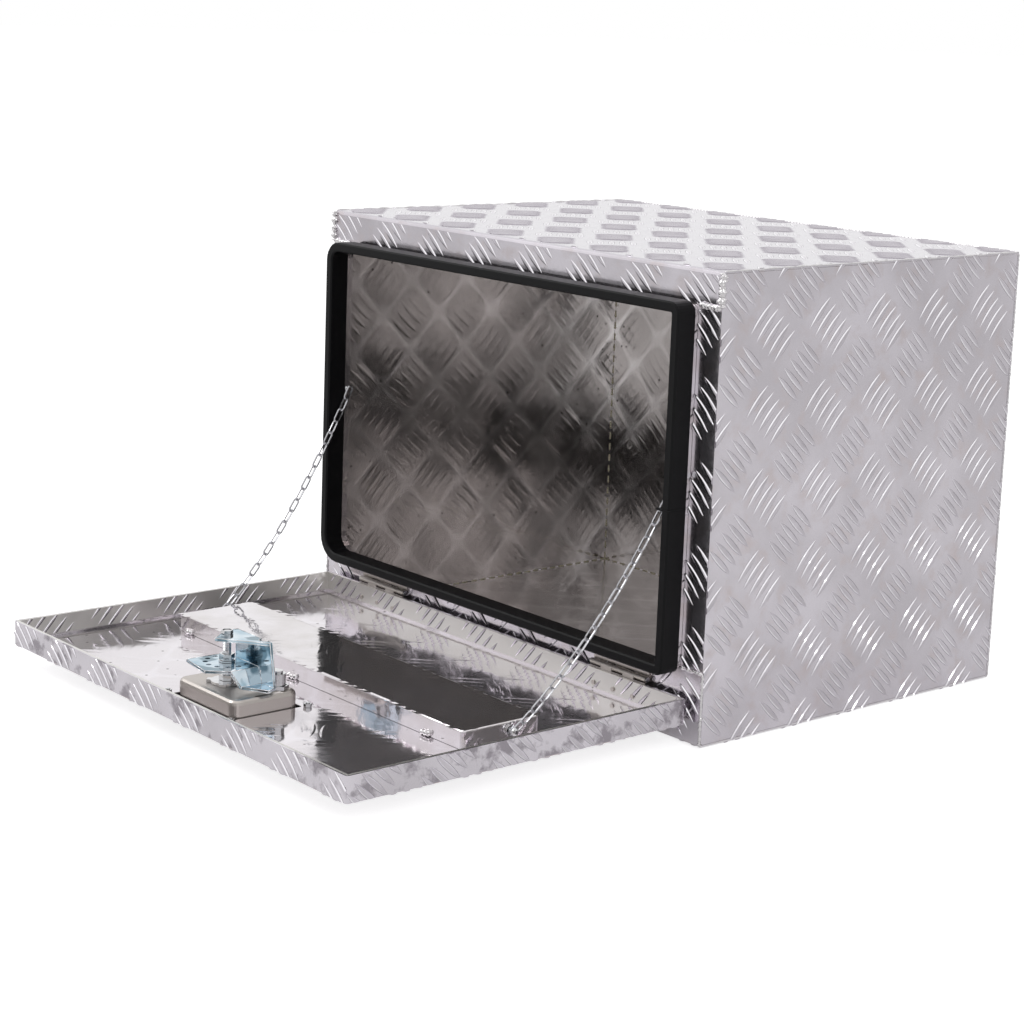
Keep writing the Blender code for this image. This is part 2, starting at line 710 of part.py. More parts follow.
def hinges(materials, door_axis):
    """Two butt hinges; each leaf carries the rivets that hold it."""
    metal = materials["stainless"]
    box_back = FRONT_Y - SEAT_GAP
    box_face = box_back - LEAF_SHEET
    door_face = DOOR_BACK_Y + SEAT_GAP
    door_back = door_face + LEAF_SHEET
    box_top = HINGE_Z + BOX_LEAF_HEIGHT
    door_low = HINGE_Z - DOOR_LEAF_DROP
    box_grip = LEAF_SHEET + BOX_SHEET + 2 * SEAT_GAP
    door_grip = LEAF_SHEET + DOOR_RIM_SHEET + 2 * SEAT_GAP
    for name, sign in SIDES:
        centre_x = sign * HINGE_X
        fixed = leaf_with_knuckles("hinge_box_leaf_" + name, centre_x, 0, box_face, box_back,
                                   box_top, metal, None)
        height = HINGE_Z + BOX_RIVET_HEIGHT
        seat = Vector((centre_x, box_face + FUSE_OVERLAP, height))
        rivets = rivet_row(seat, -Y_AXIS, box_grip - FUSE_OVERLAP)
        fuse(fixed, make_tool("box_rivets_" + name, rivets, seat))
        moving = leaf_with_knuckles("hinge_door_leaf_" + name, centre_x, 1, door_face, door_back,
                                    door_low, metal, door_axis)
        height = HINGE_Z - DOOR_RIVET_DROP
        seat = Vector((centre_x, door_back - FUSE_OVERLAP, height))
        rivets = rivet_row(seat, Y_AXIS, door_grip - FUSE_OVERLAP)
        fuse(moving, make_tool("door_rivets_" + name, rivets, seat, door_axis))
        hinge_pin(name, centre_x, materials["rivet"])


def rivet_row(seat, axis, grip):
    """The rivets of one leaf, their heads sunk a little into it so that they join."""
    shape = bmesh.new()
    middle = (HINGE_RIVETS - 1) / 2
    for index in range(HINGE_RIVETS):
        offset = X_AXIS * ((index - middle) * HINGE_RIVET_PITCH)
        rivet(shape, seat + offset, axis, grip)
    return shape


def hinge_pin(name, centre_x, material):
    pin = bmesh.new()
    end = HINGE_LENGTH / 2 + KNUCKLE_GAP
    head_end = end + PIN_HEAD_LENGTH
    profile = (
        (PIN_HEAD_RADIUS, -head_end),
        (PIN_HEAD_RADIUS, -end),
        (PIN_RADIUS, -end),
        (PIN_RADIUS, end),
        (PIN_HEAD_RADIUS, end),
        (PIN_HEAD_RADIUS, head_end),
    )
    centre = Vector((centre_x, HINGE_Y, HINGE_Z))
    turned(pin, profile, centre, X_AXIS)
    make_object("hinge_pin_" + name, pin, material, centre)


def door_loop(inwards, height):
    radius = max(DOOR_CORNER_RADIUS - inwards, SHARPEST_RADIUS)
    half = DOOR_HALF - inwards
    low = DOOR_FRONT_Y + inwards
    high = DOOR_BACK_Y - inwards
    return plan(rounded_rectangle(-half, half, low, high, (radius,) * 4, EDGE_SEGMENTS), height)


def door_pan(materials, door_axis):
    """The tray: a floor, an upright rim, and the rim's edge hemmed back inside."""
    shape = bmesh.new()
    hem_end = DOOR_RIM_Z - DOOR_HEM_DEPTH
    loops = [
        door_loop(0, DOOR_SKIN_Z),
        door_loop(0, DOOR_RIM_Z),
        door_loop(DOOR_RIM_SHEET, DOOR_RIM_Z),
        door_loop(DOOR_RIM_SHEET, hem_end),
        door_loop(DOOR_SHEET, hem_end),
        door_loop(DOOR_SHEET, DOOR_FLOOR_Z),
    ]
    skin(shape, loops)
    origin = Vector((0, HINGE_Y, HINGE_Z))
    pan = make_object("door_pan", shape, materials["tread"], origin, door_axis)
    cutout = bmesh.new()
    outline = rounded_rectangle(-CUTOUT_HALF_X, CUTOUT_HALF_X, PAN_Y - CUTOUT_HALF_Y,
                                PAN_Y + CUTOUT_HALF_Y, (PAN_CUTOUT_RADIUS,) * 4, EDGE_SEGMENTS)
    prism(cutout, outline, plan, DOOR_SKIN_Z - CUT_OVERRUN, DOOR_FLOOR_Z + CUT_OVERRUN)
    cutout_tool = make_tool("pan_cutout", cutout, Vector((0, PAN_Y, DOOR_FLOOR_Z)), door_axis)
    cut(pan, cutout_tool, pan_screw_holes(door_axis), door_hinge_holes(door_axis))


def stiffener(materials, door_axis):
    """A closed-ended channel, open towards the door's floor."""
    def loop(inwards, height):
        radius = max(STIFFENER_CORNER_RADIUS - inwards, SHARPEST_RADIUS)
        half = STIFFENER_HALF - inwards
        outline = rounded_rectangle(-half, half, STIFFENER_FRONT_Y + inwards,
                                    STIFFENER_BACK_Y - inwards, (radius,) * 4, EDGE_SEGMENTS)
        return plan(outline, height)

    ceiling = STIFFENER_TOP_Z - STIFFENER_SHEET
    loops = [loop(STIFFENER_SHEET, ceiling), loop(STIFFENER_SHEET, STIFFENER_FOOT_Z)]
    loops.append(loop(0, STIFFENER_FOOT_Z))
    for along, rise in arc(0, 0, STIFFENER_EDGE_RADIUS, 0, 1, EDGE_SEGMENTS):
        inwards = STIFFENER_EDGE_RADIUS - along
        loops.append(loop(inwards, STIFFENER_TOP_Z - STIFFENER_EDGE_RADIUS + rise))
    shape = bmesh.new()
    skin(shape, loops)
    origin = Vector((0, (STIFFENER_FRONT_Y + STIFFENER_BACK_Y) / 2, STIFFENER_FOOT_Z))
    item = make_object("stiffener_channel", shape, materials["aluminium"], origin, door_axis)
    holes = bmesh.new()
    radius = CHAIN_RIVET_RADIUS + HOLE_CLEARANCE
    for _, sign in SIDES:
        centre = Vector((0, CHAIN_DOOR_END.y, CHAIN_DOOR_END.z))
        near = STIFFENER_HALF - STIFFENER_SHEET - CUT_OVERRUN
        far = STIFFENER_HALF + CUT_OVERRUN
        rod(holes, centre, X_AXIS * sign, radius, near, far, SMALL_SEGMENTS)
    holes_origin = Vector((0, CHAIN_DOOR_END.y, CHAIN_DOOR_END.z))
    cut(item, make_tool("chain_door_holes", holes, holes_origin, door_axis))

    tacks = bmesh.new()
    half_tack = TACK_LENGTH / 2
    height = STIFFENER_FOOT_Z + FUSE_OVERLAP + TACK_RADIUS
    sink = TACK_RADIUS / 2
    rows = (
        (STIFFENER_FRONT_Y - sink, TACK_FRONT_SHARES),
        (STIFFENER_BACK_Y + sink, TACK_REAR_SHARES),
    )
    for along_y, shares in rows:
        for share in shares:
            centre = Vector((share * STIFFENER_HALF, along_y, height))
            profile = [(TACK_RADIUS * wide, half_tack * along) for wide, along in TACK_SHARES]
            turned(tacks, profile, centre, X_AXIS, TACK_SEGMENTS)
    fuse(item, make_tool("tack_welds", tacks, origin, door_axis))


def pan_loop(out, radius, height):
    half_x = PAN_LENGTH / 2 + out
    half_y = PAN_WIDTH / 2 + out
    radii = (max(radius, SHARPEST_RADIUS),) * 4
    outline = rounded_rectangle(-half_x, half_x, PAN_Y - half_y, PAN_Y + half_y, radii)
    return plan(outline, height)


def latch_pan(materials, door_axis):
    """A pressed dish, open to the door's outer face, with a flat flange round it."""
    edge = PAN_EDGE_RADIUS
    inner_edge = edge - PAN_SHEET
    inner_corner = PAN_CORNER_RADIUS - PAN_SHEET
    loops = []
    for along, rise in arc(0, 0, inner_edge, 1, 0, EDGE_SEGMENTS):
        out = -PAN_SHEET - inner_edge + along
        loops.append(pan_loop(out, inner_corner - inner_edge + along, PAN_TOP_Z - edge + rise))
    loops.append(pan_loop(-PAN_SHEET, inner_corner, PAN_FLANGE_LOW_Z))
    loops.append(pan_loop(PAN_FLANGE, PAN_FLANGE_RADIUS, PAN_FLANGE_LOW_Z))
    loops.append(pan_loop(PAN_FLANGE, PAN_FLANGE_RADIUS, PAN_FLANGE_TOP_Z))
    loops.append(pan_loop(0, PAN_CORNER_RADIUS, PAN_FLANGE_TOP_Z))
    for along, rise in arc(0, 0, edge, 0, 1, EDGE_SEGMENTS):
        out = along - edge
        loops.append(pan_loop(out, PAN_CORNER_RADIUS - edge + along, PAN_TOP_Z - edge + rise))
    shape = bmesh.new()
    skin(shape, loops)
    origin = Vector((0, PAN_Y, PAN_TOP_Z))
    pan = make_object("latch_pan", shape, materials["stainless"], origin, door_axis)
    bores = bmesh.new()
    low = PAN_CEILING_Z - CUT_OVERRUN
    high = PAN_TOP_Z + CUT_OVERRUN
    spindle_bore = SPINDLE_RADIUS + THREADED_GAP
    rod(bores, Vector((SPINDLE_X, SPINDLE_Y, 0)), Z_AXIS, spindle_bore, low, high)
    lock_bore = LOCK_BODY_RADIUS + HOLE_CLEARANCE
    rod(bores, Vector((LOCK_X, LOCK_Y, 0)), Z_AXIS, lock_bore, low, high)
    bore_tool = make_tool("pan_bores", bores, origin, door_axis)
    cut(pan, bore_tool, bpy.data.objects["pan_screw_holes"])

    gasket = bmesh.new()
    half_x = PAN_LENGTH / 2
    half_y = PAN_WIDTH / 2
    outer = PAN_FLANGE - GASKET_MARGIN
    inner = GASKET_INNER_GAP
    loops = (
        pan_loop(outer, PAN_FLANGE_RADIUS - GASKET_MARGIN, GASKET_LOW_Z),
        pan_loop(outer, PAN_FLANGE_RADIUS - GASKET_MARGIN, GASKET_TOP_Z),
        pan_loop(inner, GASKET_INNER_RADIUS, GASKET_TOP_Z),
        pan_loop(inner, GASKET_INNER_RADIUS, GASKET_LOW_Z),
    )
    skin(gasket, loops, ring=True)
    gasket_item = make_object("latch_gasket", gasket, materials["rubber"], origin, door_axis)
    cut(gasket_item, bpy.data.objects["pan_screw_holes"])


def pan_screw_places():
    return [
        (sign_x * PAN_SCREW_OFFSET_X, PAN_Y + sign_y * PAN_SCREW_OFFSET_Y)
        for sign_x in (-1, 1)
        for sign_y in (-1, 1)
    ]


def pan_screw_holes(door_axis):
    shape = bmesh.new()
    radius = PAN_SCREW_RADIUS + HOLE_CLEARANCE
    low = PAN_FLANGE_LOW_Z - CUT_OVERRUN
    high = DOOR_FLOOR_Z + CUT_OVERRUN
    for x, y in pan_screw_places():
        rod(shape, Vector((x, y, 0)), Z_AXIS, radius, low, high, SMALL_SEGMENTS)
    return make_tool("pan_screw_holes", shape, Vector((0, PAN_Y, low)), door_axis)


def latch_fasteners(materials, door_axis):
    seat = PAN_FLANGE_LOW_Z - SEAT_GAP
    nut_low = DOOR_FLOOR_Z + SEAT_GAP
    nut_high = nut_low + PAN_NUT_HEIGHT
    length = nut_high + PAN_SCREW_END - seat
    bore = (PAN_SCREW_RADIUS + THREADED_GAP) / math.cos(math.pi / 6)
    profile = [(PAN_SCREW_RADIUS, -length), (PAN_SCREW_RADIUS, 0)]
    for wide, high in DOME_SHARES:
        profile.append((PAN_SCREW_HEAD_RADIUS * wide, PAN_SCREW_HEAD_HEIGHT * high))
    for index, (x, y) in enumerate(pan_screw_places()):
        place = Vector((x, y, seat))
        screw = bmesh.new()
        turned(screw, profile, place, -Z_AXIS, SMALL_SEGMENTS)
        make_object("latch_pan_screw_" + str(index), screw, materials["zinc"], place, door_axis)
        nut = bmesh.new()
        hex_nut(nut, Vector((x, y, 0)), Z_AXIS, PAN_NUT_FLATS, bore, nut_low, nut_high)
        place = Vector((x, y, nut_low))
        make_object("latch_pan_nut_" + str(index), nut, materials["zinc"], place, door_axis)


def spindle_hardware(materials, door_axis):
    """The tabbed ring and the housing nut that stay with the pan."""
    centre = Vector((SPINDLE_X, SPINDLE_Y, 0))
    bore = SPINDLE_RADIUS + THREADED_GAP
    ring_low = PAN_TOP_Z + SEAT_GAP
    ring_high = ring_low + RING_THICKNESS
    ring = bmesh.new()
    tube(ring, centre, Z_AXIS, RING_RADIUS, bore, ring_low, ring_high, 2 * SMALL_SEGMENTS)
    ring_item = make_object("spindle_ring", ring, materials["zinc"], centre, door_axis)
    tab_tools = []
    for index in range(RING_TABS):
        angle = 2 * math.pi * (index + 0.5) / RING_TABS
        tab = bmesh.new()
        half = RING_TAB_WIDTH / 2
        low = (RING_RADIUS - RING_TAB_REACH, -half, ring_low)
        high = (RING_RADIUS + RING_TAB_REACH, half, ring_high)
        box(tab, low, high)
        bmesh.ops.rotate(tab, verts=tab.verts, cent=ORIGIN, matrix=Matrix.Rotation(angle, 3, "Z"))
        bmesh.ops.translate(tab, verts=tab.verts, vec=centre)
        tab_tools.append(make_tool("ring_tab_" + str(index), tab, centre, door_axis))
    fuse(ring_item, *tab_tools)

    nut = bmesh.new()
    nut_low = ring_high + SEAT_GAP
    nut_bore = bore / math.cos(math.pi / 6)
    hex_nut(nut, centre, Z_AXIS, HOUSING_NUT_FLATS, nut_bore, nut_low, nut_low + HOUSING_NUT_HEIGHT)
    make_object("spindle_housing_nut", nut, materials["zinc"], centre, door_axis)


def spindle(materials, latch_axis):
    """The threaded spindle with its boss and the tang that the handle folds on."""
    centre = Vector((SPINDLE_X, SPINDLE_Y, 0))
    boss_top = PAN_CEILING_Z - SEAT_GAP
    boss_low = boss_top - SPINDLE_BOSS_HEIGHT
    profile = (
        (SPINDLE_BOSS_RADIUS, boss_low),
        (SPINDLE_BOSS_RADIUS, boss_top),
        (SPINDLE_RADIUS, boss_top),
        (SPINDLE_RADIUS, SPINDLE_TOP_Z),
    )
    shape = bmesh.new()
    turned(shape, profile, centre, Z_AXIS)
    origin = Vector((SPINDLE_X, SPINDLE_Y, PAN_TOP_Z))
    item = make_object("latch_spindle", shape, materials["zinc"], origin, latch_axis)

    tang = bmesh.new()
    half = TANG_WIDTH / 2
    end = arc(0, HANDLE_PIN_Z, half, -2, 0, 2 * EDGE_SEGMENTS)
    outline = [(SPINDLE_Y + y, z) for y, z in end]
    outline.append((SPINDLE_Y + half, boss_low + FUSE_OVERLAP))
    outline.append((SPINDLE_Y - half, boss_low + FUSE_OVERLAP))
    prism(tang, outline, side, SPINDLE_X - TANG_THICKNESS / 2, SPINDLE_X + TANG_THICKNESS / 2)
    tang_tool = make_tool("spindle_tang", tang, origin, latch_axis)
    fuse(item, tang_tool)
    bore = bmesh.new()
    pin_place = Vector((SPINDLE_X, SPINDLE_Y, HANDLE_PIN_Z))
    reach = TANG_THICKNESS / 2 + CUT_OVERRUN
    hole = HANDLE_PIN_RADIUS + PIN_RUNNING_GAP
    rod(bore, pin_place, X_AXIS, hole, -reach, reach)
    cut(item, make_tool("tang_bore", bore, pin_place, latch_axis))


def polygon_tool(name, points, low, high, parent):
    shape = bmesh.new()
    centre = Vector((SPINDLE_X, SPINDLE_Y, 0))
    prism(shape, points, plan, low, high)
    bmesh.ops.translate(shape, verts=shape.verts, vec=centre)
    return make_tool(name, shape, centre, parent)


def pawl_bracket(materials, latch_axis):
    """One bent sheet: index plate, ramp, foot, upright web and top flange."""
    centre = Vector((SPINDLE_X, SPINDLE_Y, 0))
    plate_top = PAN_TOP_Z + PAWL_PLATE_RISE
    plate_low = plate_top - PAWL_SHEET
    foot_top = PAN_TOP_Z + PAWL_FOOT_RISE
    foot_low = foot_top - PAWL_SHEET
    top_top = PAN_TOP_Z + PAWL_TOP_RISE
    top_low = top_top - PAWL_SHEET
    web_front = PAWL_WEB_Y
    web_back = PAWL_WEB_Y + PAWL_SHEET
    ramp_x = PAWL_PLATE_FRONT_RIGHT[0]

    plate = bmesh.new()
    outline = (
        PAWL_PLATE_FRONT_LEFT,
        PAWL_PLATE_FRONT,
        PAWL_PLATE_FRONT_RIGHT,
        (ramp_x, web_front + FUSE_OVERLAP),
        (PAWL_WEB_LEFT, web_back),
        PAWL_PLATE_LEFT,
    )
    prism(plate, outline, plan, plate_low, plate_top)
    bmesh.ops.translate(plate, verts=plate.verts, vec=centre)
    origin = Vector((SPINDLE_X, SPINDLE_Y, plate_top))
    item = make_object("pawl_bracket", plate, materials["zinc"], origin, latch_axis)

    ramp = bmesh.new()
    near_y = PAWL_PLATE_FRONT_RIGHT[1]
    far_y = web_front + FUSE_OVERLAP
    foot_x = PAWL_RAMP_FOOT_X
    foot_y = PAWL_RAMP_FOOT_Y
    thick = PAWL_SHEET
    section = (
        (ramp_x - thick, near_y, plate_top),
        (ramp_x, near_y, plate_top),
        (foot_x, foot_y, foot_top),
        (foot_x, foot_y, foot_low),
        (foot_x - thick, foot_y, foot_low),
        (ramp_x - thick, near_y, plate_low),
    )
    near = [Vector(point) for point in section]
    far = [Vector((across, far_y, height)) for across, _, height in section]
    skin(ramp, [near, far])
    bmesh.ops.triangulate(ramp, faces=ramp.faces)
    bmesh.ops.translate(ramp, verts=ramp.verts, vec=centre)
    ramp_tool = make_tool("pawl_ramp", ramp, centre, latch_axis)

    foot_outline = (
        (foot_x - FUSE_OVERLAP, foot_y),
        PAWL_FOOT_CORNER,
        (PAWL_WEB_FOOT_RIGHT, web_back),
        (foot_x - FUSE_OVERLAP, web_back),
    )
    foot_tool = polygon_tool("pawl_foot", foot_outline, foot_low, foot_top, latch_axis)

    web = bmesh.new()
    web_outline = (
        (PAWL_WEB_LEFT, plate_low),
        (foot_x - thick, plate_low),
        (foot_x - thick, foot_low),
        (PAWL_WEB_FOOT_RIGHT, foot_low),
        (PAWL_WEB_TOP_RIGHT, top_top),
        (PAWL_WEB_LEFT, top_top),
    )
    prism(web, web_outline, front, web_front, web_back)
    bmesh.ops.translate(web, verts=web.verts, vec=centre)
    web_tool = make_tool("pawl_web", web, centre, latch_axis)

    top_outline = [PAWL_TOP_LEFT, PAWL_TOP_TIP, (PAWL_WEB_TOP_RIGHT, web_front - FUSE_OVERLAP)]
    top_outline.append((PAWL_WEB_TOP_RIGHT, web_back))
    top_outline.append((PAWL_WEB_LEFT, web_back))
    top_tool = polygon_tool("pawl_top_flange", top_outline, top_low, top_top, latch_axis)
    fuse(item, ramp_tool, foot_tool, web_tool, top_tool)

    holes = bmesh.new()
    low = plate_low - CUT_OVERRUN
    high = top_top + CUT_OVERRUN
    rod(holes, centre, Z_AXIS, SPINDLE_RADIUS + THREADED_GAP, low, high)
    high = plate_top + CUT_OVERRUN
    for index in range(PAWL_INDEX_HOLES):
        angle = 2 * math.pi * index / PAWL_INDEX_HOLES
        x = PAWL_INDEX_RADIUS * math.cos(angle)
        y = PAWL_INDEX_RADIUS * math.sin(angle)
        if y + PAWL_INDEX_HOLE_RADIUS < PAWL_INDEX_LIMIT:
            place = centre + Vector((x, y, 0))
            rod(holes, place, Z_AXIS, PAWL_INDEX_HOLE_RADIUS, low, high, SMALL_SEGMENTS)
    holes_tool = make_tool("pawl_holes", holes, origin, latch_axis)
    notch = bmesh.new()
    place = centre + Vector((PAWL_TOP_NOTCH_X, web_back, 0))
    low = top_low - CUT_OVERRUN
    high = top_top + CUT_OVERRUN
    rod(notch, place, Z_AXIS, PAWL_TOP_NOTCH_RADIUS, low, high, SMALL_SEGMENTS)
    notch_tool = make_tool("pawl_notch", notch, origin, latch_axis)
    cut(item, holes_tool, notch_tool)


def spindle_stack(materials, latch_axis):
    """The washers and nuts that clamp the bracket to the spindle."""
    centre = Vector((SPINDLE_X, SPINDLE_Y, 0))
    bore = SPINDLE_RADIUS + THREADED_GAP
    nut_bore = bore / math.cos(math.pi / 6)
    plate_top = PAN_TOP_Z + PAWL_PLATE_RISE
    plate_low = plate_top - PAWL_SHEET
    upper = plate_top + SEAT_GAP
    lower = plate_low - SEAT_GAP
    upper_nut = upper + WASHER_THICKNESS + SEAT_GAP
    lower_nut = lower - WASHER_THICKNESS - SEAT_GAP
    top_nut = PAN_TOP_Z + PAWL_TOP_RISE + SEAT_GAP
    for name, low in (("upper", upper), ("lower", lower - WASHER_THICKNESS)):
        washer = bmesh.new()
        tube(washer, centre, Z_AXIS, WASHER_RADIUS, bore, low, low + WASHER_THICKNESS)
        place = Vector((SPINDLE_X, SPINDLE_Y, low))
        make_object("pawl_washer_" + name, washer, materials["zinc"], place, latch_axis)
    for name, flats, low, high in (
        ("pawl_nut_upper", PAWL_NUT_FLATS, upper_nut, upper_nut + PAWL_NUT_HEIGHT),
        ("pawl_nut_lower", TOP_NUT_FLATS, lower_nut - PAWL_THIN_NUT_HEIGHT, lower_nut),
        ("spindle_top_nut", TOP_NUT_FLATS, top_nut, top_nut + TOP_NUT_HEIGHT),
    ):
        nut = bmesh.new()
        hex_nut(nut, centre, Z_AXIS, flats, nut_bore, low, high)
        place = Vector((SPINDLE_X, SPINDLE_Y, low))
        make_object(name, nut, materials["zinc"], place, latch_axis)


def handle(materials, latch_axis, handle_axis):
    """A T-shaped pull that lies in the recess and folds out about its pin."""
    origin = Vector((SPINDLE_X, SPINDLE_Y, HANDLE_PIN_Z))
    half_thick = HANDLE_THICKNESS / 2
    cheek_near = TANG_THICKNESS / 2 + SEAT_GAP
    cheek_far = cheek_near + HANDLE_CHEEK
    root = TANG_WIDTH / 2 + SEAT_GAP
    bar_near = HANDLE_STEM_REACH
    bar_far = bar_near + HANDLE_BAR_WIDTH
    half_bar = HANDLE_BAR_LENGTH / 2
    low = HANDLE_PIN_Z - half_thick
    high = HANDLE_PIN_Z + half_thick

    bar = bmesh.new()
    radii = (HANDLE_BAR_RADIUS,) * 4
    outline = rounded_rectangle(-half_bar, half_bar, bar_near, bar_far, radii, EDGE_SEGMENTS)
    prism(bar, outline, plan, low, high)
    bmesh.ops.translate(bar, verts=bar.verts, vec=Vector((SPINDLE_X, SPINDLE_Y, 0)))
    item = make_object("t_handle", bar, materials["stainless"], origin, handle_axis)

    stem = bmesh.new()
    box(stem, (-cheek_far, root, low), (cheek_far, bar_near + FUSE_OVERLAP, high))
    bmesh.ops.translate(stem, verts=stem.verts, vec=Vector((SPINDLE_X, SPINDLE_Y, 0)))
    tools = [make_tool("handle_stem", stem, origin, handle_axis)]
    for name, sign in SIDES:
        cheek = bmesh.new()
        end = arc(0, HANDLE_PIN_Z, half_thick, 3, 1, 2 * EDGE_SEGMENTS)
        outline = [(SPINDLE_Y + y, z) for y, z in end]
        outline.append((SPINDLE_Y + root + FUSE_OVERLAP, high))
        outline.append((SPINDLE_Y + root + FUSE_OVERLAP, low))
        near = SPINDLE_X + sign * cheek_near
        far = SPINDLE_X + sign * cheek_far
        prism(cheek, outline, side, near, far)
        tools.append(make_tool("handle_cheek_" + name, cheek, origin, handle_axis))
    fuse(item, *tools)
    bore = bmesh.new()
    reach = cheek_far + CUT_OVERRUN
    rod(bore, origin, X_AXIS, HANDLE_PIN_RADIUS + PIN_RUNNING_GAP, -reach, reach)
    cut(item, make_tool("handle_bore", bore, origin, handle_axis))

    pin = bmesh.new()
    end = cheek_far + SEAT_GAP
    head_end = end + PIN_HEAD_LENGTH
    profile = (
        (PIN_HEAD_RADIUS, -head_end),
        (PIN_HEAD_RADIUS, -end),
        (HANDLE_PIN_RADIUS, -end),
        (HANDLE_PIN_RADIUS, end),
        (PIN_HEAD_RADIUS, end),
        (PIN_HEAD_RADIUS, head_end),
    )
    turned(pin, profile, origin, X_AXIS)
    make_object("handle_pin", pin, materials["rivet"], origin, latch_axis)


def key_lock(materials, door_axis, plug_axis):
    """A lock body through the pan, its nut, and the plug that carries the cam."""
    centre = Vector((LOCK_X, LOCK_Y, 0))
    face_top = PAN_CEILING_Z - SEAT_GAP
    face_low = face_top - LOCK_FACE_THICKNESS
    body_top = PAN_TOP_Z + LOCK_BODY_RISE
    inner = PLUG_RADIUS + PLUG_RUNNING_GAP
    body = bmesh.new()
    profile = (
        (inner, face_low),
        (LOCK_FACE_RADIUS, face_low),
        (LOCK_FACE_RADIUS, face_top),
        (LOCK_BODY_RADIUS, face_top),
        (LOCK_BODY_RADIUS, body_top),
        (inner, body_top),
    )
    turned(body, profile, centre, Z_AXIS, ring=True)
    make_object("lock_body", body, materials["stainless"], centre, door_axis)

    nut = bmesh.new()
    low = PAN_TOP_Z + SEAT_GAP
    bore = (LOCK_BODY_RADIUS + THREADED_GAP) / math.cos(math.pi / 6)
    hex_nut(nut, centre, Z_AXIS, LOCK_NUT_FLATS, bore, low, low + LOCK_NUT_HEIGHT)
    make_object("lock_nut", nut, materials["zinc"], centre, door_axis)

    plug = bmesh.new()
    cam_low = body_top + SEAT_GAP
    cam_high = cam_low + CAM_THICKNESS
    plug_low = face_low - PLUG_STAND
    rod(plug, centre, Z_AXIS, PLUG_RADIUS, plug_low, cam_high)
    item = make_object("lock_plug", plug, materials["zinc"], centre, plug_axis)
    cam = bmesh.new()
    half = CAM_WIDTH / 2
    outline = arc(-CAM_REACH + half, 0, half, 3, 1, EDGE_SEGMENTS)
    outline += arc(0, 0, half, 1, -1, EDGE_SEGMENTS)
    prism(cam, outline, plan, cam_low, cam_high)
    bmesh.ops.translate(cam, verts=cam.verts, vec=centre)
    fuse(item, make_tool("lock_cam", cam, centre, plug_axis))


def chain_curve(sag):
    """Points of a hanging chain's curve from its door end to its box end."""
    points = []
    for step in range(CURVE_SAMPLES + 1):
        share = step / CURVE_SAMPLES
        point = CHAIN_DOOR_END.lerp(CHAIN_BOX_END, share)
        point.z -= 4 * sag * share * (1 - share)
        points.append(point)
    return points


def curve_length(points):
    return sum((far - near).length for near, far in zip(points, points[1:]))


def hanging_curve():
    """Find the sag at which the curve is as long as the chain."""
    low = 0
    high = CHAIN_LENGTH / 2
    for _ in range(BISECTIONS):
        sag = (low + high) / 2
        if curve_length(chain_curve(sag)) < CHAIN_LENGTH:
            low = sag
        else:
            high = sag
    return chain_curve(sag)


def along_curve(points, distance):
    """The place and the direction at a distance along the curve."""
    for near, far in zip(points, points[1:]):
        step = far - near
        if distance <= step.length:
            return near + step.normalized() * distance, step.normalized()
        distance -= step.length
    return points[-1], (points[-1] - points[-2]).normalized()


def link_frames():
    """Centre, direction and flat side of every link, from the door end up."""
    points = hanging_curve()
    frames = []
    for index in range(CHAIN_LINKS):
        centre, along = along_curve(points, LINK_END_REACH + index * LINK_PITCH)
        level = X_AXIS - along * X_AXIS.dot(along)
        level.normalize()
        upright = along.cross(level)
        wide = upright if index % 2 == 0 else level
        frames.append((centre, along, wide))
    return frames


def link(shape, centre, along, wide, inner_length):
    """One welded link: a round wire led round two half circles."""
    bend = (LINK_INNER_WIDTH / 2) + LINK_WIRE_RADIUS
    straight = inner_length / 2 - LINK_INNER_WIDTH / 2
    normal = along.cross(wide)
    path = arc(straight, 0, bend, -1, 1, LINK_BEND_SEGMENTS)
    path += arc(-straight, 0, bend, 1, 3, LINK_BEND_SEGMENTS)
    loops = []
    for x, y in path:
        middle = straight if x > 0 else -straight
        out = (along * (x - middle) + wide * y).normalized()
        base = centre + along * x + wide * y
        section = circle(LINK_WIRE_RADIUS, LINK_SIDES)
        loops.append([base + out * across + normal * up for across, up in section])
    return skin(shape, loops, ring=True)


def chain_pivots():
    """Where the chain turns: its door rivet and both ends of the bend link."""
    frames = link_frames()
    centre, along, _ = frames[CHAIN_BEND_LINK - 1]
    reach = BEND_LINK_INNER_LENGTH / 2 + LINK_WIRE_RADIUS
    return CHAIN_DOOR_END.copy(), centre - along * reach, centre + along * reach


def mirrored(vector, sign):
    return Vector((sign * vector.x, vector.y, vector.z))


def chain(name, sign, materials, door_axis):
    """A link chain in three stretches that fold as the door shuts."""
    frames = link_frames()
    places = [mirrored(place, sign) for place in chain_pivots()]
    split = CHAIN_BEND_LINK - 1
    stretches = (
        ("lower", frames[:split]),
        ("bend", frames[split:split + 1]),
        ("upper", frames[split + 1:]),
    )
    parent = door_axis
    for (part, links), place in zip(stretches, places):
        parent = make_axis("axis_chain_" + name + "_" + part, place, parent)
        title = "chain_" + name + "_" + part
        metal = materials["chain"]
        inner_length = BEND_LINK_INNER_LENGTH if part == "bend" else LINK_INNER_LENGTH
        item = make_object(title, link_row(links[::2], sign, inner_length), metal, place, parent)
        if len(links) > 1:
            between = link_row(links[1::2], sign, inner_length)
            fuse(item, make_tool(title + "_between", between, place, parent))


def link_row(links, sign, inner_length):
    """Every second link of a stretch; the links between them bite into these."""
    shape = bmesh.new()
    for centre, along, wide in links:
        link(shape, mirrored(centre, sign), mirrored(along, sign), mirrored(wide, sign),
             inner_length)
    return shape


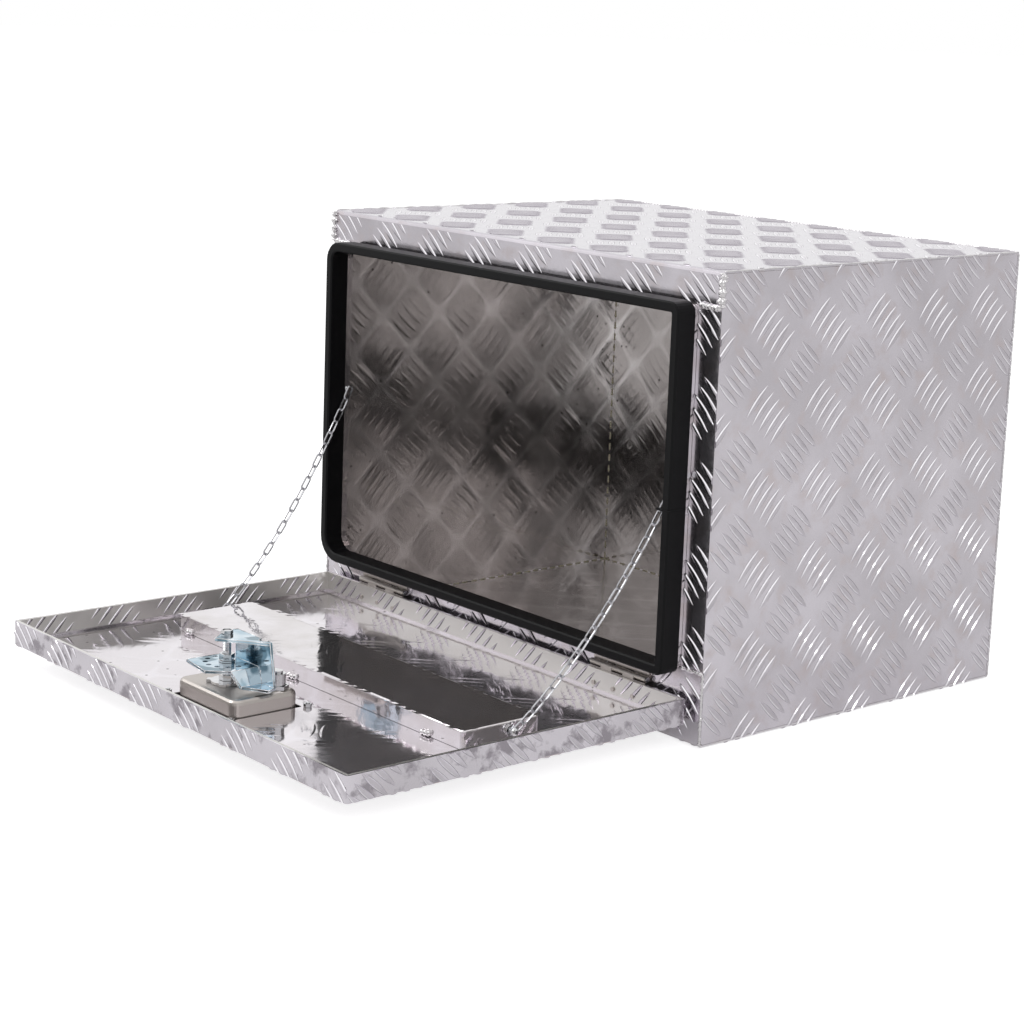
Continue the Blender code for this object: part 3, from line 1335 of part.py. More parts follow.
def chain_box_holes():
    shape = bmesh.new()
    radius = CHAIN_RIVET_RADIUS + HOLE_CLEARANCE
    centre = Vector((0, CHAIN_BOX_END.y, CHAIN_BOX_END.z))
    near = OPENING_HALF - COLLAR_SHEET - CUT_OVERRUN
    for _, sign in SIDES:
        rod(shape, centre, X_AXIS * sign, radius, near, OPENING_HALF + CUT_OVERRUN, SMALL_SEGMENTS)
    return make_tool("chain_box_holes", shape, centre)


def chain_fixings(materials, door_axis):
    """A rivet with its washer at each end of each chain, each pair one turned solid."""
    box_place = Vector((0, CHAIN_BOX_END.y, CHAIN_BOX_END.z))
    door_place = Vector((0, CHAIN_DOOR_END.y, CHAIN_DOOR_END.z))
    box_face = OPENING_HALF - COLLAR_SHEET - SEAT_GAP
    box_tail = OPENING_HALF + SEAT_GAP
    head_top = CHAIN_BOX_END.x + LINK_INNER_WIDTH / 2 + 2 * LINK_WIRE_RADIUS + SEAT_GAP
    head_height = box_face - head_top
    box_profile = [(CHAIN_RIVET_TAIL_RADIUS, box_tail + RIVET_TAIL_HEIGHT)]
    box_profile.append((CHAIN_RIVET_TAIL_RADIUS, box_tail))
    box_profile.append((CHAIN_RIVET_RADIUS, box_tail))
    box_profile.append((CHAIN_RIVET_RADIUS, box_face))
    for wide, high in DOME_SHARES:
        box_profile.append((CHAIN_BOX_HEAD_RADIUS * wide, box_face - head_height * high))

    door_tail = STIFFENER_HALF - STIFFENER_SHEET - SEAT_GAP
    washer_low = STIFFENER_HALF + SEAT_GAP
    washer_high = washer_low + CHAIN_WASHER_THICKNESS
    head_seat = CHAIN_DOOR_END.x + LINK_WIRE_RADIUS + SEAT_GAP
    door_profile = [(CHAIN_RIVET_TAIL_RADIUS, door_tail - RIVET_TAIL_HEIGHT)]
    door_profile.append((CHAIN_RIVET_TAIL_RADIUS, door_tail))
    door_profile.append((CHAIN_RIVET_RADIUS, door_tail))
    door_profile.append((CHAIN_RIVET_RADIUS, washer_low))
    door_profile.append((CHAIN_WASHER_RADIUS, washer_low))
    door_profile.append((CHAIN_WASHER_RADIUS, washer_high))
    door_profile.append((CHAIN_RIVET_RADIUS, washer_high))
    door_profile.append((CHAIN_RIVET_RADIUS, head_seat))
    for wide, high in DOME_SHARES:
        place = head_seat + CHAIN_RIVET_HEAD_HEIGHT * high
        door_profile.append((CHAIN_RIVET_HEAD_RADIUS * wide, place))
    for name, sign in SIDES:
        outwards = X_AXIS * sign
        box_rivet = bmesh.new()
        turned(box_rivet, box_profile, box_place, outwards, SMALL_SEGMENTS)
        origin = mirrored(CHAIN_BOX_END, sign)
        make_object("chain_box_rivet_" + name, box_rivet, materials["zinc"], origin)
        door_rivet = bmesh.new()
        turned(door_rivet, door_profile, door_place, outwards, SMALL_SEGMENTS)
        origin = mirrored(CHAIN_DOOR_END, sign)
        make_object("chain_door_rivet_" + name, door_rivet, materials["zinc"], origin, door_axis)


def build():
    clear_scene()
    materials = make_materials()
    door_axis = make_axis("axis_door_hinge", Vector((0, HINGE_Y, HINGE_Z)))
    latch_axis = make_axis("axis_latch_turn", Vector((SPINDLE_X, SPINDLE_Y, PAN_TOP_Z)), door_axis)
    handle_place = Vector((SPINDLE_X, SPINDLE_Y, HANDLE_PIN_Z))
    handle_axis = make_axis("axis_handle_fold", handle_place, latch_axis)
    plug_axis = make_axis("axis_lock_plug", Vector((LOCK_X, LOCK_Y, PAN_TOP_Z)), door_axis)
    box_shell(materials)
    collar_and_seal(materials)
    door_pan(materials, door_axis)
    hinges(materials, door_axis)
    stiffener(materials, door_axis)
    latch_pan(materials, door_axis)
    latch_fasteners(materials, door_axis)
    spindle_hardware(materials, door_axis)
    spindle(materials, latch_axis)
    pawl_bracket(materials, latch_axis)
    spindle_stack(materials, latch_axis)
    handle(materials, latch_axis, handle_axis)
    key_lock(materials, door_axis, plug_axis)
    chain_fixings(materials, door_axis)
    for name, sign in SIDES:
        chain(name, sign, materials, door_axis)


build()
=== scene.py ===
import json
import math
import random
from collections import namedtuple

import bmesh
import bpy
import numpy as np
from mathutils import Matrix, Vector


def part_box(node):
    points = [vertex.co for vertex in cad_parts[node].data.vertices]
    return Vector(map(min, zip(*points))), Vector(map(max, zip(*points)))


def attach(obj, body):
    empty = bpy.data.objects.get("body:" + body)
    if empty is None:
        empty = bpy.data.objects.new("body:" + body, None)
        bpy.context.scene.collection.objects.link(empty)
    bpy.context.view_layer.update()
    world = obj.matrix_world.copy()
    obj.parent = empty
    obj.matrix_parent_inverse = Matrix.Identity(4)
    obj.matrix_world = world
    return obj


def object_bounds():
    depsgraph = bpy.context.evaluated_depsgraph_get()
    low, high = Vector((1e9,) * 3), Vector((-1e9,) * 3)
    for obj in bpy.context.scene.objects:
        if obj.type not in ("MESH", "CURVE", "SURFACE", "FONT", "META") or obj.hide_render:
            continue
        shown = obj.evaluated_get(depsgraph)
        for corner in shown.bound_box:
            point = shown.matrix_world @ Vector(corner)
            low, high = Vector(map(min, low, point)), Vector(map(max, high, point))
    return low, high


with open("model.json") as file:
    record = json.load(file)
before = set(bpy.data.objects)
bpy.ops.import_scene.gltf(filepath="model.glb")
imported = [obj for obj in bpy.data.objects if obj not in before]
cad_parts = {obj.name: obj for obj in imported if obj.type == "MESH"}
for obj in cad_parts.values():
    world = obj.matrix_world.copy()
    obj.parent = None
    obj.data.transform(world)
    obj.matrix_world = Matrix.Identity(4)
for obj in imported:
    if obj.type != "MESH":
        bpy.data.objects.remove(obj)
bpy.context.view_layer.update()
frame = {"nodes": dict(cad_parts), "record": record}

# All lengths are in metres. MM turns a size in millimetres into metres.
MM = 0.001
SEED = 7

RIGHT, LEFT = Vector((1, 0, 0)), Vector((-1, 0, 0))
BACK, FRONT = Vector((0, 1, 0)), Vector((0, -1, 0))
UP = Vector((0, 0, 1))

# The camera stands where the photograph was taken. Its lens and sensor are in millimetres.
CAMERA_PLACE = (1.801, -1.734, 0.698)
CAMERA_AZIMUTH = math.radians(49.76)
CAMERA_ELEVATION = math.radians(10.33)
CAMERA_ROLL = math.radians(2.12)
CAMERA_LENS = 81.6
CAMERA_SENSOR = 36.0
CAMERA_SHIFT_X = 0.003
CAMERA_SHIFT_Y = -0.0898
CAMERA_NEAR = 50 * MM

# The sheet, and the depth to which its finish is the outer one. The bends run along the box's front edges,
# where the flat faces end. The door's rim is folded, and its hem turns over to the rim's inner face.
SHEET = 2 * MM
SKIN = 1.5 * MM
BEND = 4 * MM
RIM = 4 * MM
HEM = 19.6 * MM

# The tread pattern: groups of five bars, each group square to its neighbours.
TREAD_PITCH = 80 * MM
TREAD_TURN = 48
BARS_IN_GROUP = 5
BAR_SPACING = 11.0 * MM
BAR_LENGTH = 41 * MM
BAR_WIDTH = 5.8 * MM
BAR_HEIGHT = 1.4 * MM
BAR_SUNK = 0.02 * MM
SHORTEST_BAR = 12 * MM
FACE_MARGIN = 0.4 * MM
CUT_TOLERANCE = 1e-7

# A bar's section, in shares of its width and height, and the lines along which it is creased.
BAR_SECTION = (
    (-0.57, 0.03), (-0.5, 0.06), (-0.33, 0.82), (-0.17, 0.95), (0.0, 1.0), (0.17, 0.95), (0.33, 0.82),
    (0.5, 0.06), (0.57, 0.03),
)
BAR_CREASES = (1, 2, 6, 7)
# The finish of each strip of the section: 0 for the top, 1 for a flank (painted highlight), 2 for a foot
# (painted shade).
BAR_LAYERS = (2, 1, 0, 0, 0, 0, 1, 2)

# A bar narrows slowly at first and then fast toward its pointed ends: the larger the taper, the later. The
# shoulder keeps its top level for a little longer.
BAR_STEPS = 10
BAR_TAPER = 2.4
BAR_SHOULDER = 1.4

# The print of the bars on the other side of the sheet is wider, softer and almost flat.
PRINT_WIDTH = 7.5 * MM
PRINT_HEIGHT = 0.1 * MM
PRINT_SUNK = 0.01 * MM
PRINT_SHIFT = 12 * MM
PRINT_SECTION = ((-0.5, 0.0), (-0.3, 0.45), (0.0, 1.0), (0.3, 0.45), (0.5, 0.0))
PRINT_LAYERS = (0, 0, 0, 0)

# Where the middle of a group of bars lies, from each face's corner. The faces in view follow the photograph.
TOP_PLACE = (-20 * MM, -10 * MM)
UPPER_LIP_PLACE = 20 * MM
LOWER_LIP_PLACE = 26 * MM
JAMB_PLACE = (12 * MM, 14 * MM)
SIDE_PLACE = (30 * MM, 36 * MM)
BACK_PLACE = (10 * MM, 20 * MM)
BOTTOM_PLACE = (20 * MM, 14 * MM)
DOOR_SKIN_PLACE = (12 * MM, 8 * MM)
RIM_FRONT_PLACE = 20 * MM
RIM_BACK_PLACE = 24 * MM
RIM_SIDE_PLACE = 30 * MM
RIM_PLACE_UP = 12 * MM
HEM_PLACE = (-6 * MM, -31 * MM)
STIFFENER_PLACE = 30 * MM

# How far the tread stays from the hole for the latch, and its print from what stands on the door's floor.
HOLE_MARGIN = 3 * MM
FLOOR_MARGIN = 1 * MM

# Each kind of weld bead: its radius, how lumpy it is, and how far apart its lumps are.
BEADS = {
    "upper_corner": (3.2 * MM, 0.3, 3.4 * MM),
    "upper_corner_pass": (3.3 * MM, 0.35, 8.5 * MM),
    "lower_corner": (1.4 * MM, 0.2, 5 * MM),
    "upper_joint": (2.9 * MM, 0.3, 4.2 * MM),
    "upper_joint_pass": (2.6 * MM, 0.35, 9 * MM),
    "lower_joint": (1.8 * MM, 0.3, 4 * MM),
    "top_edge": (0.75 * MM, 0.5, 19 * MM),
    "bottom_edge": (0.6 * MM, 0.15, 6 * MM),
    "back_edge": (0.8 * MM, 0.2, 5 * MM),
    "seam": (0.8 * MM, 0.4, 3 * MM),
    "tack": (2.86 * MM, 0.2, 5 * MM),
}
# A bead's sides, its steps to a lump, and how much its lumps differ in size. It closes toward both ends: it
# starts at a share of its radius and gains another share with each step.
BEAD_SIDES = 8
BEAD_STEPS = 6
FEWEST_STEPS = 4
LUMP_SIZES = (0.4, 1.3)
BEAD_TIP = 0.3
BEAD_TIP_STEP = 0.35

# How far the beads stop short of a corner, and how far in the seams inside the box lie.
BEAD_INSET = 1 * MM
PASS_INSET = 2 * MM
BOTTOM_BEAD_INSET = 0.8 * MM
SEAM_INSET = 2.2 * MM
SEAM_DASH = (9 * MM, 5 * MM)

# The tack welds along the stiffener's foot, in shares of half its length.
TACK_RISE = 2.6 * MM
TACK_HALF = 7 * MM
TACKS_FRONT = (-0.92, -0.12, 0.78)
TACKS_REAR = (-0.86, -0.24, 0.30, 0.88)

# The seal's butt joint, a thin line round the band of rubber.
SEAL_BAND = 17 * MM
SEAL_JOINT_HEIGHT = 229 * MM
SEAL_JOINT_HALF = 0.8 * MM
SEAL_JOINT_LIP = 0.35 * MM

# Points that are closer than this are at one place.
SAME_PLACE = 0.01 * MM

# The bracket's bright cut edges.
SHARP_ANGLE = math.radians(50)
EDGE_RADIUS = 0.4 * MM
EDGE_SIDES = 6
SHORTEST_EDGE = 2.5 * MM

# The thread on the spindle: a ridge that starts inside the rod and stands out from it.
SPINDLE_RADIUS = 4 * MM
THREAD_LENGTH = 17 * MM
THREAD_PITCH = 1.5 * MM
THREAD_DEPTH = 0.35 * MM
THREAD_ROOT = 0.3 * MM
THREAD_STEPS = 12

# How much of its own white the floor adds for the eye, and for a mirror.
FLOOR_GLOW_SEEN = 0.72
FLOOR_GLOW_MIRRORED = 0.19
FLOOR_REACH = 30.0

# The surround is white toward the backdrop and overhead, and a little greyer toward the room. The light that
# it throws on the object is weaker.
BACKDROP_SIDE = (-0.53, 0.45, 1.2)
ROOM_LIGHT = 0.66
BACKDROP_REACH = 0.45
SOFT_LIGHT = 0.62

# Each soft lamp: its name, its place, its size and its power in watts.
LAMPS = (("lamp_left", (-1.6, -1.8, 2.4), 1.6, 24), ("lamp_right", (2.6, -0.6, 1.8), 1.2, 12))
LAMP_AIM = (0, -0.1, 0.2)

random.seed(SEED)

BOX_LOW, BOX_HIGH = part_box("bottom_panel")[0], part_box("top_panel")[1]
DOOR_LOW, DOOR_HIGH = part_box("door_pan")
OPENING_LOW, OPENING_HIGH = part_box("opening_collar")


def colour(code):
    """The linear colour of an sRGB hex code."""
    parts = [int(code[k:k + 2], 16) / 255 for k in (1, 3, 5)]
    linear = [p / 12.92 if p <= 0.04045 else ((p + 0.055) / 1.055) ** 2.4 for p in parts]
    return (*linear, 1.0)


def add_node(tree, kind, inputs=None, **settings):
    """Adds a node, sets its settings, sets or links its inputs, and returns its outputs.

    An input given as a hex code is a colour.
    """
    made = tree.nodes.new("ShaderNode" + kind)
    for name, value in settings.items():
        setattr(made, name, value)
    for key, value in (inputs or {}).items():
        if isinstance(value, bpy.types.NodeSocket):
            tree.links.new(value, made.inputs[key])
        else:
            made.inputs[key].default_value = colour(value) if isinstance(value, str) else value
    return made.outputs


def new_material(name):
    """An empty material, its node tree, and where in an object a point lies."""
    material = bpy.data.materials.new(name)
    material.use_nodes = True
    tree = material.node_tree
    tree.nodes.clear()
    return material, tree, add_node(tree, "TexCoord")["Object"]


def finish_material(material, tree, inputs):
    """Ends a material in one Principled shader with the given inputs."""
    shader = add_node(tree, "BsdfPrincipled", inputs)[0]
    add_node(tree, "OutputMaterial", {"Surface": shader})
    return material


# What a MapRange node starts from or goes to. Nearly all of a noise lies within the spread.
SPREAD = {"From Min": 0.35, "From Max": 0.65}
WHOLE_RANGE = {"From Min": 0.0, "From Max": 1.0}
UNIT = {"To Min": 0.0, "To Max": 1.0}


def inside_of(tree, place, low, high):
    """One inside a box and zero outside it."""
    middle = [(a + b) / 2 for a, b in zip(low, high)]
    half = [(b - a) / 2 for a, b in zip(low, high)]
    away = add_node(tree, "VectorMath", {0: place, 1: middle}, operation="SUBTRACT")[0]
    away = add_node(tree, "VectorMath", {0: away}, operation="ABSOLUTE")[0]
    spare = add_node(tree, "VectorMath", {0: half, 1: away}, operation="SUBTRACT")[0]
    axes = add_node(tree, "SeparateXYZ", {0: spare})
    least = add_node(tree, "Math", {0: axes[0], 1: axes[1]}, operation="MINIMUM")[0]
    least = add_node(tree, "Math", {0: least, 1: axes[2]}, operation="MINIMUM")[0]
    return add_node(tree, "Math", {0: least, 1: 0.0}, operation="GREATER_THAN")[0]


def pillows(tree, place, start):
    """Soft pillows, one to each group of bars, as the rolling leaves them: 0 between them and 1 on them."""
    turn = math.pi / (TREAD_PITCH / 2)
    phase = [-turn * axis for axis in start]
    angles = add_node(tree, "VectorMath", {0: place, 1: (turn,) * 3, 2: phase}, operation="MULTIPLY_ADD")[0]
    waves = add_node(tree, "VectorMath", {0: angles}, operation="COSINE")[0]
    facing = add_node(tree, "TexCoord")["Normal"]
    facing = add_node(tree, "VectorMath", {0: facing}, operation="ABSOLUTE")[0]
    in_plane = add_node(tree, "VectorMath", {0: (1, 1, 1), 1: facing}, operation="SUBTRACT")[0]
    both = add_node(tree, "VectorMath", {0: waves, 1: in_plane}, operation="DOT_PRODUCT")["Value"]
    half = add_node(tree, "Math", {0: both, 1: 0.5}, operation="MULTIPLY")[0]
    return add_node(tree, "Math", {0: half}, operation="ABSOLUTE")[0]


def outer_skin(tree, place, cloud, height, low, high, stain):
    """The outer face's colour: pale violet grey and clouded, with stains, and painted darker above the given
    height, as shade on the top.

    The stains have their own colour only above the lower height, so that they stay faint underneath.
    """
    code, size, full = stain
    spots = add_node(tree, "TexNoise", {"Vector": place, "Scale": 1 / size, "Detail": 5, "Roughness": 0.6})
    spots = add_node(tree, "MapRange", {"Value": spots["Fac"], "From Min": 0.5, "From Max": full, **UNIT})
    reach = {"From Min": low - 1 * MM, "From Max": low - 0.5 * MM}
    on_sides = add_node(tree, "MapRange", {"Value": height, **reach, **UNIT})["Result"]
    # Above the given height, on the box's top face, the colour is painted darker: a painted shade.
    reach = {"From Min": high, "From Max": high + 1 * MM}
    painted_top_shade = add_node(tree, "MapRange", {"Value": height, **reach, **UNIT})["Result"]
    skin = add_node(
        tree, "Mix", {"Factor": cloud, "A": "#E4DFE6", "B": "#D2CDD3"}, data_type="RGBA",
    )["Result"]
    dark = add_node(tree, "Mix", {"Factor": on_sides, "A": "#D3C9CB", "B": code}, data_type="RGBA")["Result"]
    skin = {"Factor": spots["Result"], "A": skin, "B": dark}
    skin = add_node(tree, "Mix", skin, data_type="RGBA")["Result"]
    return add_node(tree, "Mix", {"Factor": painted_top_shade, "A": skin, "B": "#CDC9D0"}, data_type="RGBA")["Result"]


def inner_skin(tree, place, cloud, swell, codes):
    """The inner face's colour: clouded, painted darker on the pillows as shade, with small dark pits."""
    # The pillows are painted darker, a painted shade in place of their darker reflections.
    painted_pillow_shade = add_node(tree, "MapRange", {"Value": swell, "From Min": 0.04, "From Max": 0.22, **UNIT})["Result"]
    pits = add_node(tree, "TexVoronoi", {"Vector": place, "Scale": 1 / (22 * MM)})["Distance"]
    pits = add_node(
        tree, "MapRange", {"Value": pits, "From Min": 0.05, "From Max": 0.08, "To Min": 0.9, "To Max": 0.0},
    )["Result"]
    skin = add_node(tree, "Mix", {"Factor": cloud, "A": codes[0], "B": codes[1]}, data_type="RGBA")["Result"]
    skin = add_node(tree, "Mix", {"Factor": painted_pillow_shade, "A": skin, "B": codes[2]}, data_type="RGBA")["Result"]
    return add_node(tree, "Mix", {"Factor": pits, "A": skin, "B": "#4A4442"}, data_type="RGBA")["Result"]


def sheet_ripple(tree, place, inside, swell, swell_depth):
    """The sheet's bump: long waves all over, weaker on the inner face, where the pillows add to them."""
    depth = 0.25 * MM
    waves = add_node(
        tree, "TexNoise", {"Vector": place, "Scale": 1 / (34 * MM), "Detail": 2, "Roughness": 0.55},
    )
    share = add_node(
        tree, "MapRange", {"Value": inside, **WHOLE_RANGE, "To Min": 1.0, "To Max": 0.6},
    )["Result"]
    waves = add_node(tree, "Math", {0: waves["Fac"], 1: share}, operation="MULTIPLY")[0]
    swell = add_node(tree, "Math", {0: swell, 1: inside}, operation="MULTIPLY")[0]
    ripple = add_node(tree, "Math", {0: swell, 1: swell_depth / depth, 2: waves}, operation="MULTIPLY_ADD")[0]
    return add_node(tree, "Bump", {"Height": ripple, "Distance": depth})["Normal"]


def rolled_sheet(
    name, low, high, stain, inner_codes, inner_rough, swell_start, swell_depth, metallic, hem=None,
):
    """Rolled aluminium: bright outside, and smokier on the inner face, inside the given box.

    The stain has a colour, the size of its spots and the noise at which they are full. Above the hem's
    height, the inner face is the hem, which is paler and duller.
    """
    material, tree, place = new_material(name)
    inside = inside_of(tree, place, low, high)
    height = add_node(tree, "SeparateXYZ", {0: place})["Z"]
    cloud = add_node(
        tree, "TexNoise", {"Vector": place, "Scale": 1 / (90 * MM), "Detail": 4, "Roughness": 0.55},
    )
    cloud = add_node(tree, "MapRange", {"Value": cloud["Fac"], **SPREAD, **UNIT})["Result"]
    fine = add_node(
        tree, "TexNoise", {"Vector": place, "Scale": 1 / (5 * MM), "Detail": 5, "Roughness": 0.65},
    )
    fine = add_node(tree, "MapRange", {"Value": fine["Fac"], **SPREAD, "To Min": 0.12, "To Max": 0.2})
    smoky = {"To Min": inner_rough[0], "To Max": inner_rough[1]}
    smoky = add_node(tree, "MapRange", {"Value": cloud, **SPREAD, **smoky})["Result"]
    swell = pillows(tree, place, swell_start)
    outer = outer_skin(tree, place, cloud, height, low[2], high[2], stain)
    inner = inner_skin(tree, place, cloud, swell, inner_codes)
    if hem is not None:
        reach = {"From Min": hem, "From Max": hem + 2 * MM}
        on_hem = add_node(tree, "MapRange", {"Value": height, **reach, **UNIT})["Result"]
        inner = add_node(
            tree, "Mix", {"Factor": on_hem, "A": inner, "B": "#DEDCD8"}, data_type="RGBA",
        )["Result"]
        smoky = add_node(
            tree, "MapRange", {"Value": on_hem, **WHOLE_RANGE, "To Min": smoky, "To Max": 0.32},
        )["Result"]
    tint = add_node(tree, "Mix", {"Factor": inside, "A": outer, "B": inner}, data_type="RGBA")["Result"]
    rough = add_node(tree, "Mix", {"Factor": inside, 2: fine["Result"], 3: smoky})[0]
    ripple = sheet_ripple(tree, place, inside, swell, swell_depth)
    return finish_material(
        material, tree, {"Base Color": tint, "Metallic": metallic, "Roughness": rough, "Normal": ripple},
    )


def pressed_bars(name, first, second, low_rough, high_rough):
    """One layer of the pressed bars: their worn tops, their flanks with a painted highlight, or a painted
    shade at their feet.
    """
    material, tree, place = new_material(name)
    cloud = add_node(
        tree, "TexNoise", {"Vector": place, "Scale": 1 / (30 * MM), "Detail": 4, "Roughness": 0.55},
    )
    cloud = add_node(tree, "MapRange", {"Value": cloud["Fac"], **SPREAD, **UNIT})["Result"]
    tint = add_node(tree, "Mix", {"Factor": cloud, "A": first, "B": second}, data_type="RGBA")["Result"]
    rough = add_node(
        tree, "TexNoise", {"Vector": place, "Scale": 1 / (4 * MM), "Detail": 4, "Roughness": 0.55},
    )
    rough = add_node(
        tree, "MapRange", {"Value": rough["Fac"], **SPREAD, "To Min": low_rough, "To Max": high_rough},
    )["Result"]
    return finish_material(material, tree, {"Base Color": tint, "Metallic": 1.0, "Roughness": rough})


def smooth_sheet():
    """The smooth side of the same sheet, bent into the collar and the stiffener: almost a mirror."""
    material, tree, place = new_material("smooth_rolled_aluminium")
    cloud = add_node(
        tree, "TexNoise", {"Vector": place, "Scale": 1 / (60 * MM), "Detail": 4, "Roughness": 0.55},
    )
    cloud = add_node(tree, "MapRange", {"Value": cloud["Fac"], **SPREAD, **UNIT})["Result"]
    tint = add_node(
        tree, "Mix", {"Factor": cloud, "A": "#EAE6EA", "B": "#D9D4D4"}, data_type="RGBA",
    )["Result"]
    rough = add_node(tree, "MapRange", {"Value": cloud, **SPREAD, "To Min": 0.05, "To Max": 0.1})["Result"]
    waves = add_node(
        tree, "TexNoise", {"Vector": place, "Scale": 1 / (30 * MM), "Detail": 3, "Roughness": 0.55},
    )
    bump = add_node(tree, "Bump", {"Height": waves["Fac"], "Distance": 0.5 * MM, "Strength": 0.7})["Normal"]
    return finish_material(
        material, tree, {"Base Color": tint, "Metallic": 0.93, "Roughness": rough, "Normal": bump},
    )


def weld_metal():
    """Aluminium weld bead: bright, with a frosted skin. Its grain is drawn coarse enough to show."""
    material, tree, place = new_material("aluminium_weld_bead")
    grain = add_node(
        tree, "TexNoise", {"Vector": place, "Scale": 1 / (1.2 * MM), "Detail": 4, "Roughness": 0.55},
    )["Fac"]
    tint = add_node(
        tree, "Mix", {"Factor": grain, "A": "#EDEBEC", "B": "#C9C6C8"}, data_type="RGBA",
    )["Result"]
    rough = add_node(tree, "MapRange", {"Value": grain, **SPREAD, "To Min": 0.16, "To Max": 0.3})["Result"]
    bump = add_node(tree, "Bump", {"Height": grain, "Distance": 0.15 * MM, "Strength": 0.6})["Normal"]
    return finish_material(
        material, tree, {"Base Color": tint, "Metallic": 1.0, "Roughness": rough, "Normal": bump},
    )


def seam_weld():
    """The thin seam welds inside: dull, with a pale yellowish residue."""
    material, tree, place = new_material("aluminium_seam_weld")
    grain = add_node(
        tree, "TexNoise", {"Vector": place, "Scale": 1 / (2 * MM), "Detail": 4, "Roughness": 0.55},
    )["Fac"]
    tint = add_node(
        tree, "Mix", {"Factor": grain, "A": "#F7F0D8", "B": "#E2D9BE"}, data_type="RGBA",
    )["Result"]
    rough = add_node(tree, "MapRange", {"Value": grain, **SPREAD, "To Min": 0.4, "To Max": 0.6})["Result"]
    return finish_material(material, tree, {"Base Color": tint, "Metallic": 0.0, "Roughness": rough})


def seal_rubber():
    """Black extruded rubber: matte, with a faint sheen. Its grain is drawn coarse enough to show."""
    material, tree, place = new_material("extruded_rubber")
    grain = add_node(
        tree, "TexNoise", {"Vector": place, "Scale": 1 / (1.5 * MM), "Detail": 3, "Roughness": 0.55},
    )["Fac"]
    tint = add_node(
        tree, "Mix", {"Factor": grain, "A": "#08080A", "B": "#0E0E10"}, data_type="RGBA",
    )["Result"]
    rough = add_node(tree, "MapRange", {"Value": grain, **SPREAD, "To Min": 0.4, "To Max": 0.52})["Result"]
    bump = add_node(tree, "Bump", {"Height": grain, "Distance": 0.04 * MM, "Strength": 0.5})["Normal"]
    return finish_material(
        material, tree, {"Base Color": tint, "Roughness": rough, "Normal": bump, "Specular IOR Level": 0.16},
    )


def stainless():
    """Drawn stainless steel: a warm grey polish, with lines along the box's width, coarse enough to show."""
    material, tree, place = new_material("drawn_stainless_steel")
    drawn = add_node(tree, "VectorMath", {0: place, 1: (1, 12, 12)}, operation="MULTIPLY")[0]
    grain = add_node(
        tree, "TexNoise", {"Vector": drawn, "Scale": 1 / (2 * MM), "Detail": 4, "Roughness": 0.6},
    )["Fac"]
    tint = add_node(
        tree, "Mix", {"Factor": grain, "A": "#CDC7C2", "B": "#B8B1AC"}, data_type="RGBA",
    )["Result"]
    rough = add_node(tree, "MapRange", {"Value": grain, **SPREAD, "To Min": 0.28, "To Max": 0.4})["Result"]
    bump = add_node(tree, "Bump", {"Height": grain, "Distance": 0.02 * MM, "Strength": 0.4})["Normal"]
    return finish_material(
        material, tree, {"Base Color": tint, "Metallic": 1.0, "Roughness": rough, "Normal": bump},
    )


def zinc_plate():
    """Blue-passivated zinc on steel: pale blue, with cloudy and darker teal patches."""
    material, tree, place = new_material("blue_zinc_plate")
    cloud = add_node(
        tree, "TexNoise", {"Vector": place, "Scale": 1 / (36 * MM), "Detail": 2, "Roughness": 0.55},
    )["Fac"]
    teal = add_node(
        tree, "TexNoise", {"Vector": place, "Scale": 1 / (21 * MM), "Detail": 2, "Roughness": 0.4},
    )
    reach = {"From Min": 0.53, "From Max": 0.6, "To Min": 0.0, "To Max": 0.85}
    teal = add_node(tree, "MapRange", {"Value": teal["Fac"], **reach})["Result"]
    blue = add_node(tree, "MapRange", {"Value": cloud, "From Min": 0.4, "From Max": 0.62, **UNIT})["Result"]
    tint = add_node(tree, "Mix", {"Factor": blue, "A": "#DCE8F0", "B": "#A6C2D2"}, data_type="RGBA")["Result"]
    tint = add_node(tree, "Mix", {"Factor": teal, "A": tint, "B": "#5D7C8B"}, data_type="RGBA")["Result"]
    rough = add_node(tree, "MapRange", {"Value": cloud, **SPREAD, "To Min": 0.05, "To Max": 0.12})["Result"]
    bump = add_node(tree, "Bump", {"Height": cloud, "Distance": 0.8 * MM, "Strength": 0.6})["Normal"]
    return finish_material(
        material, tree, {"Base Color": tint, "Metallic": 1.0, "Roughness": rough, "Normal": bump},
    )


def bright_zinc(name, first, second, low_rough, high_rough):
    """Bright zinc, as on wire, rivets and turned parts: a clean, faintly clouded silver."""
    material, tree, place = new_material(name)
    cloud = add_node(
        tree, "TexNoise", {"Vector": place, "Scale": 1 / (5 * MM), "Detail": 2, "Roughness": 0.55},
    )["Fac"]
    tint = add_node(tree, "Mix", {"Factor": cloud, "A": first, "B": second}, data_type="RGBA")["Result"]
    rough = add_node(
        tree, "MapRange", {"Value": cloud, **SPREAD, "To Min": low_rough, "To Max": high_rough},
    )["Result"]
    return finish_material(material, tree, {"Base Color": tint, "Metallic": 1.0, "Roughness": rough})


SKIN_ALL_ROUND = Vector((SKIN,) * 3)
# The third inner colour is the painted shade on the pillows.
TREAD = rolled_sheet(
    "rolled_aluminium_box", BOX_LOW + SKIN_ALL_ROUND, BOX_HIGH - SKIN_ALL_ROUND,
    stain=("#D3C9CB", 22 * MM, 0.75), inner_codes=("#E8E5E5", "#DDDAD9", "#D1CDCC"), inner_rough=(0.1, 0.18),
    swell_start=(BOX_LOW.x, BOX_HIGH.y - SHEET, SHEET + PRINT_SHIFT), swell_depth=0.35 * MM, metallic=0.96,
)
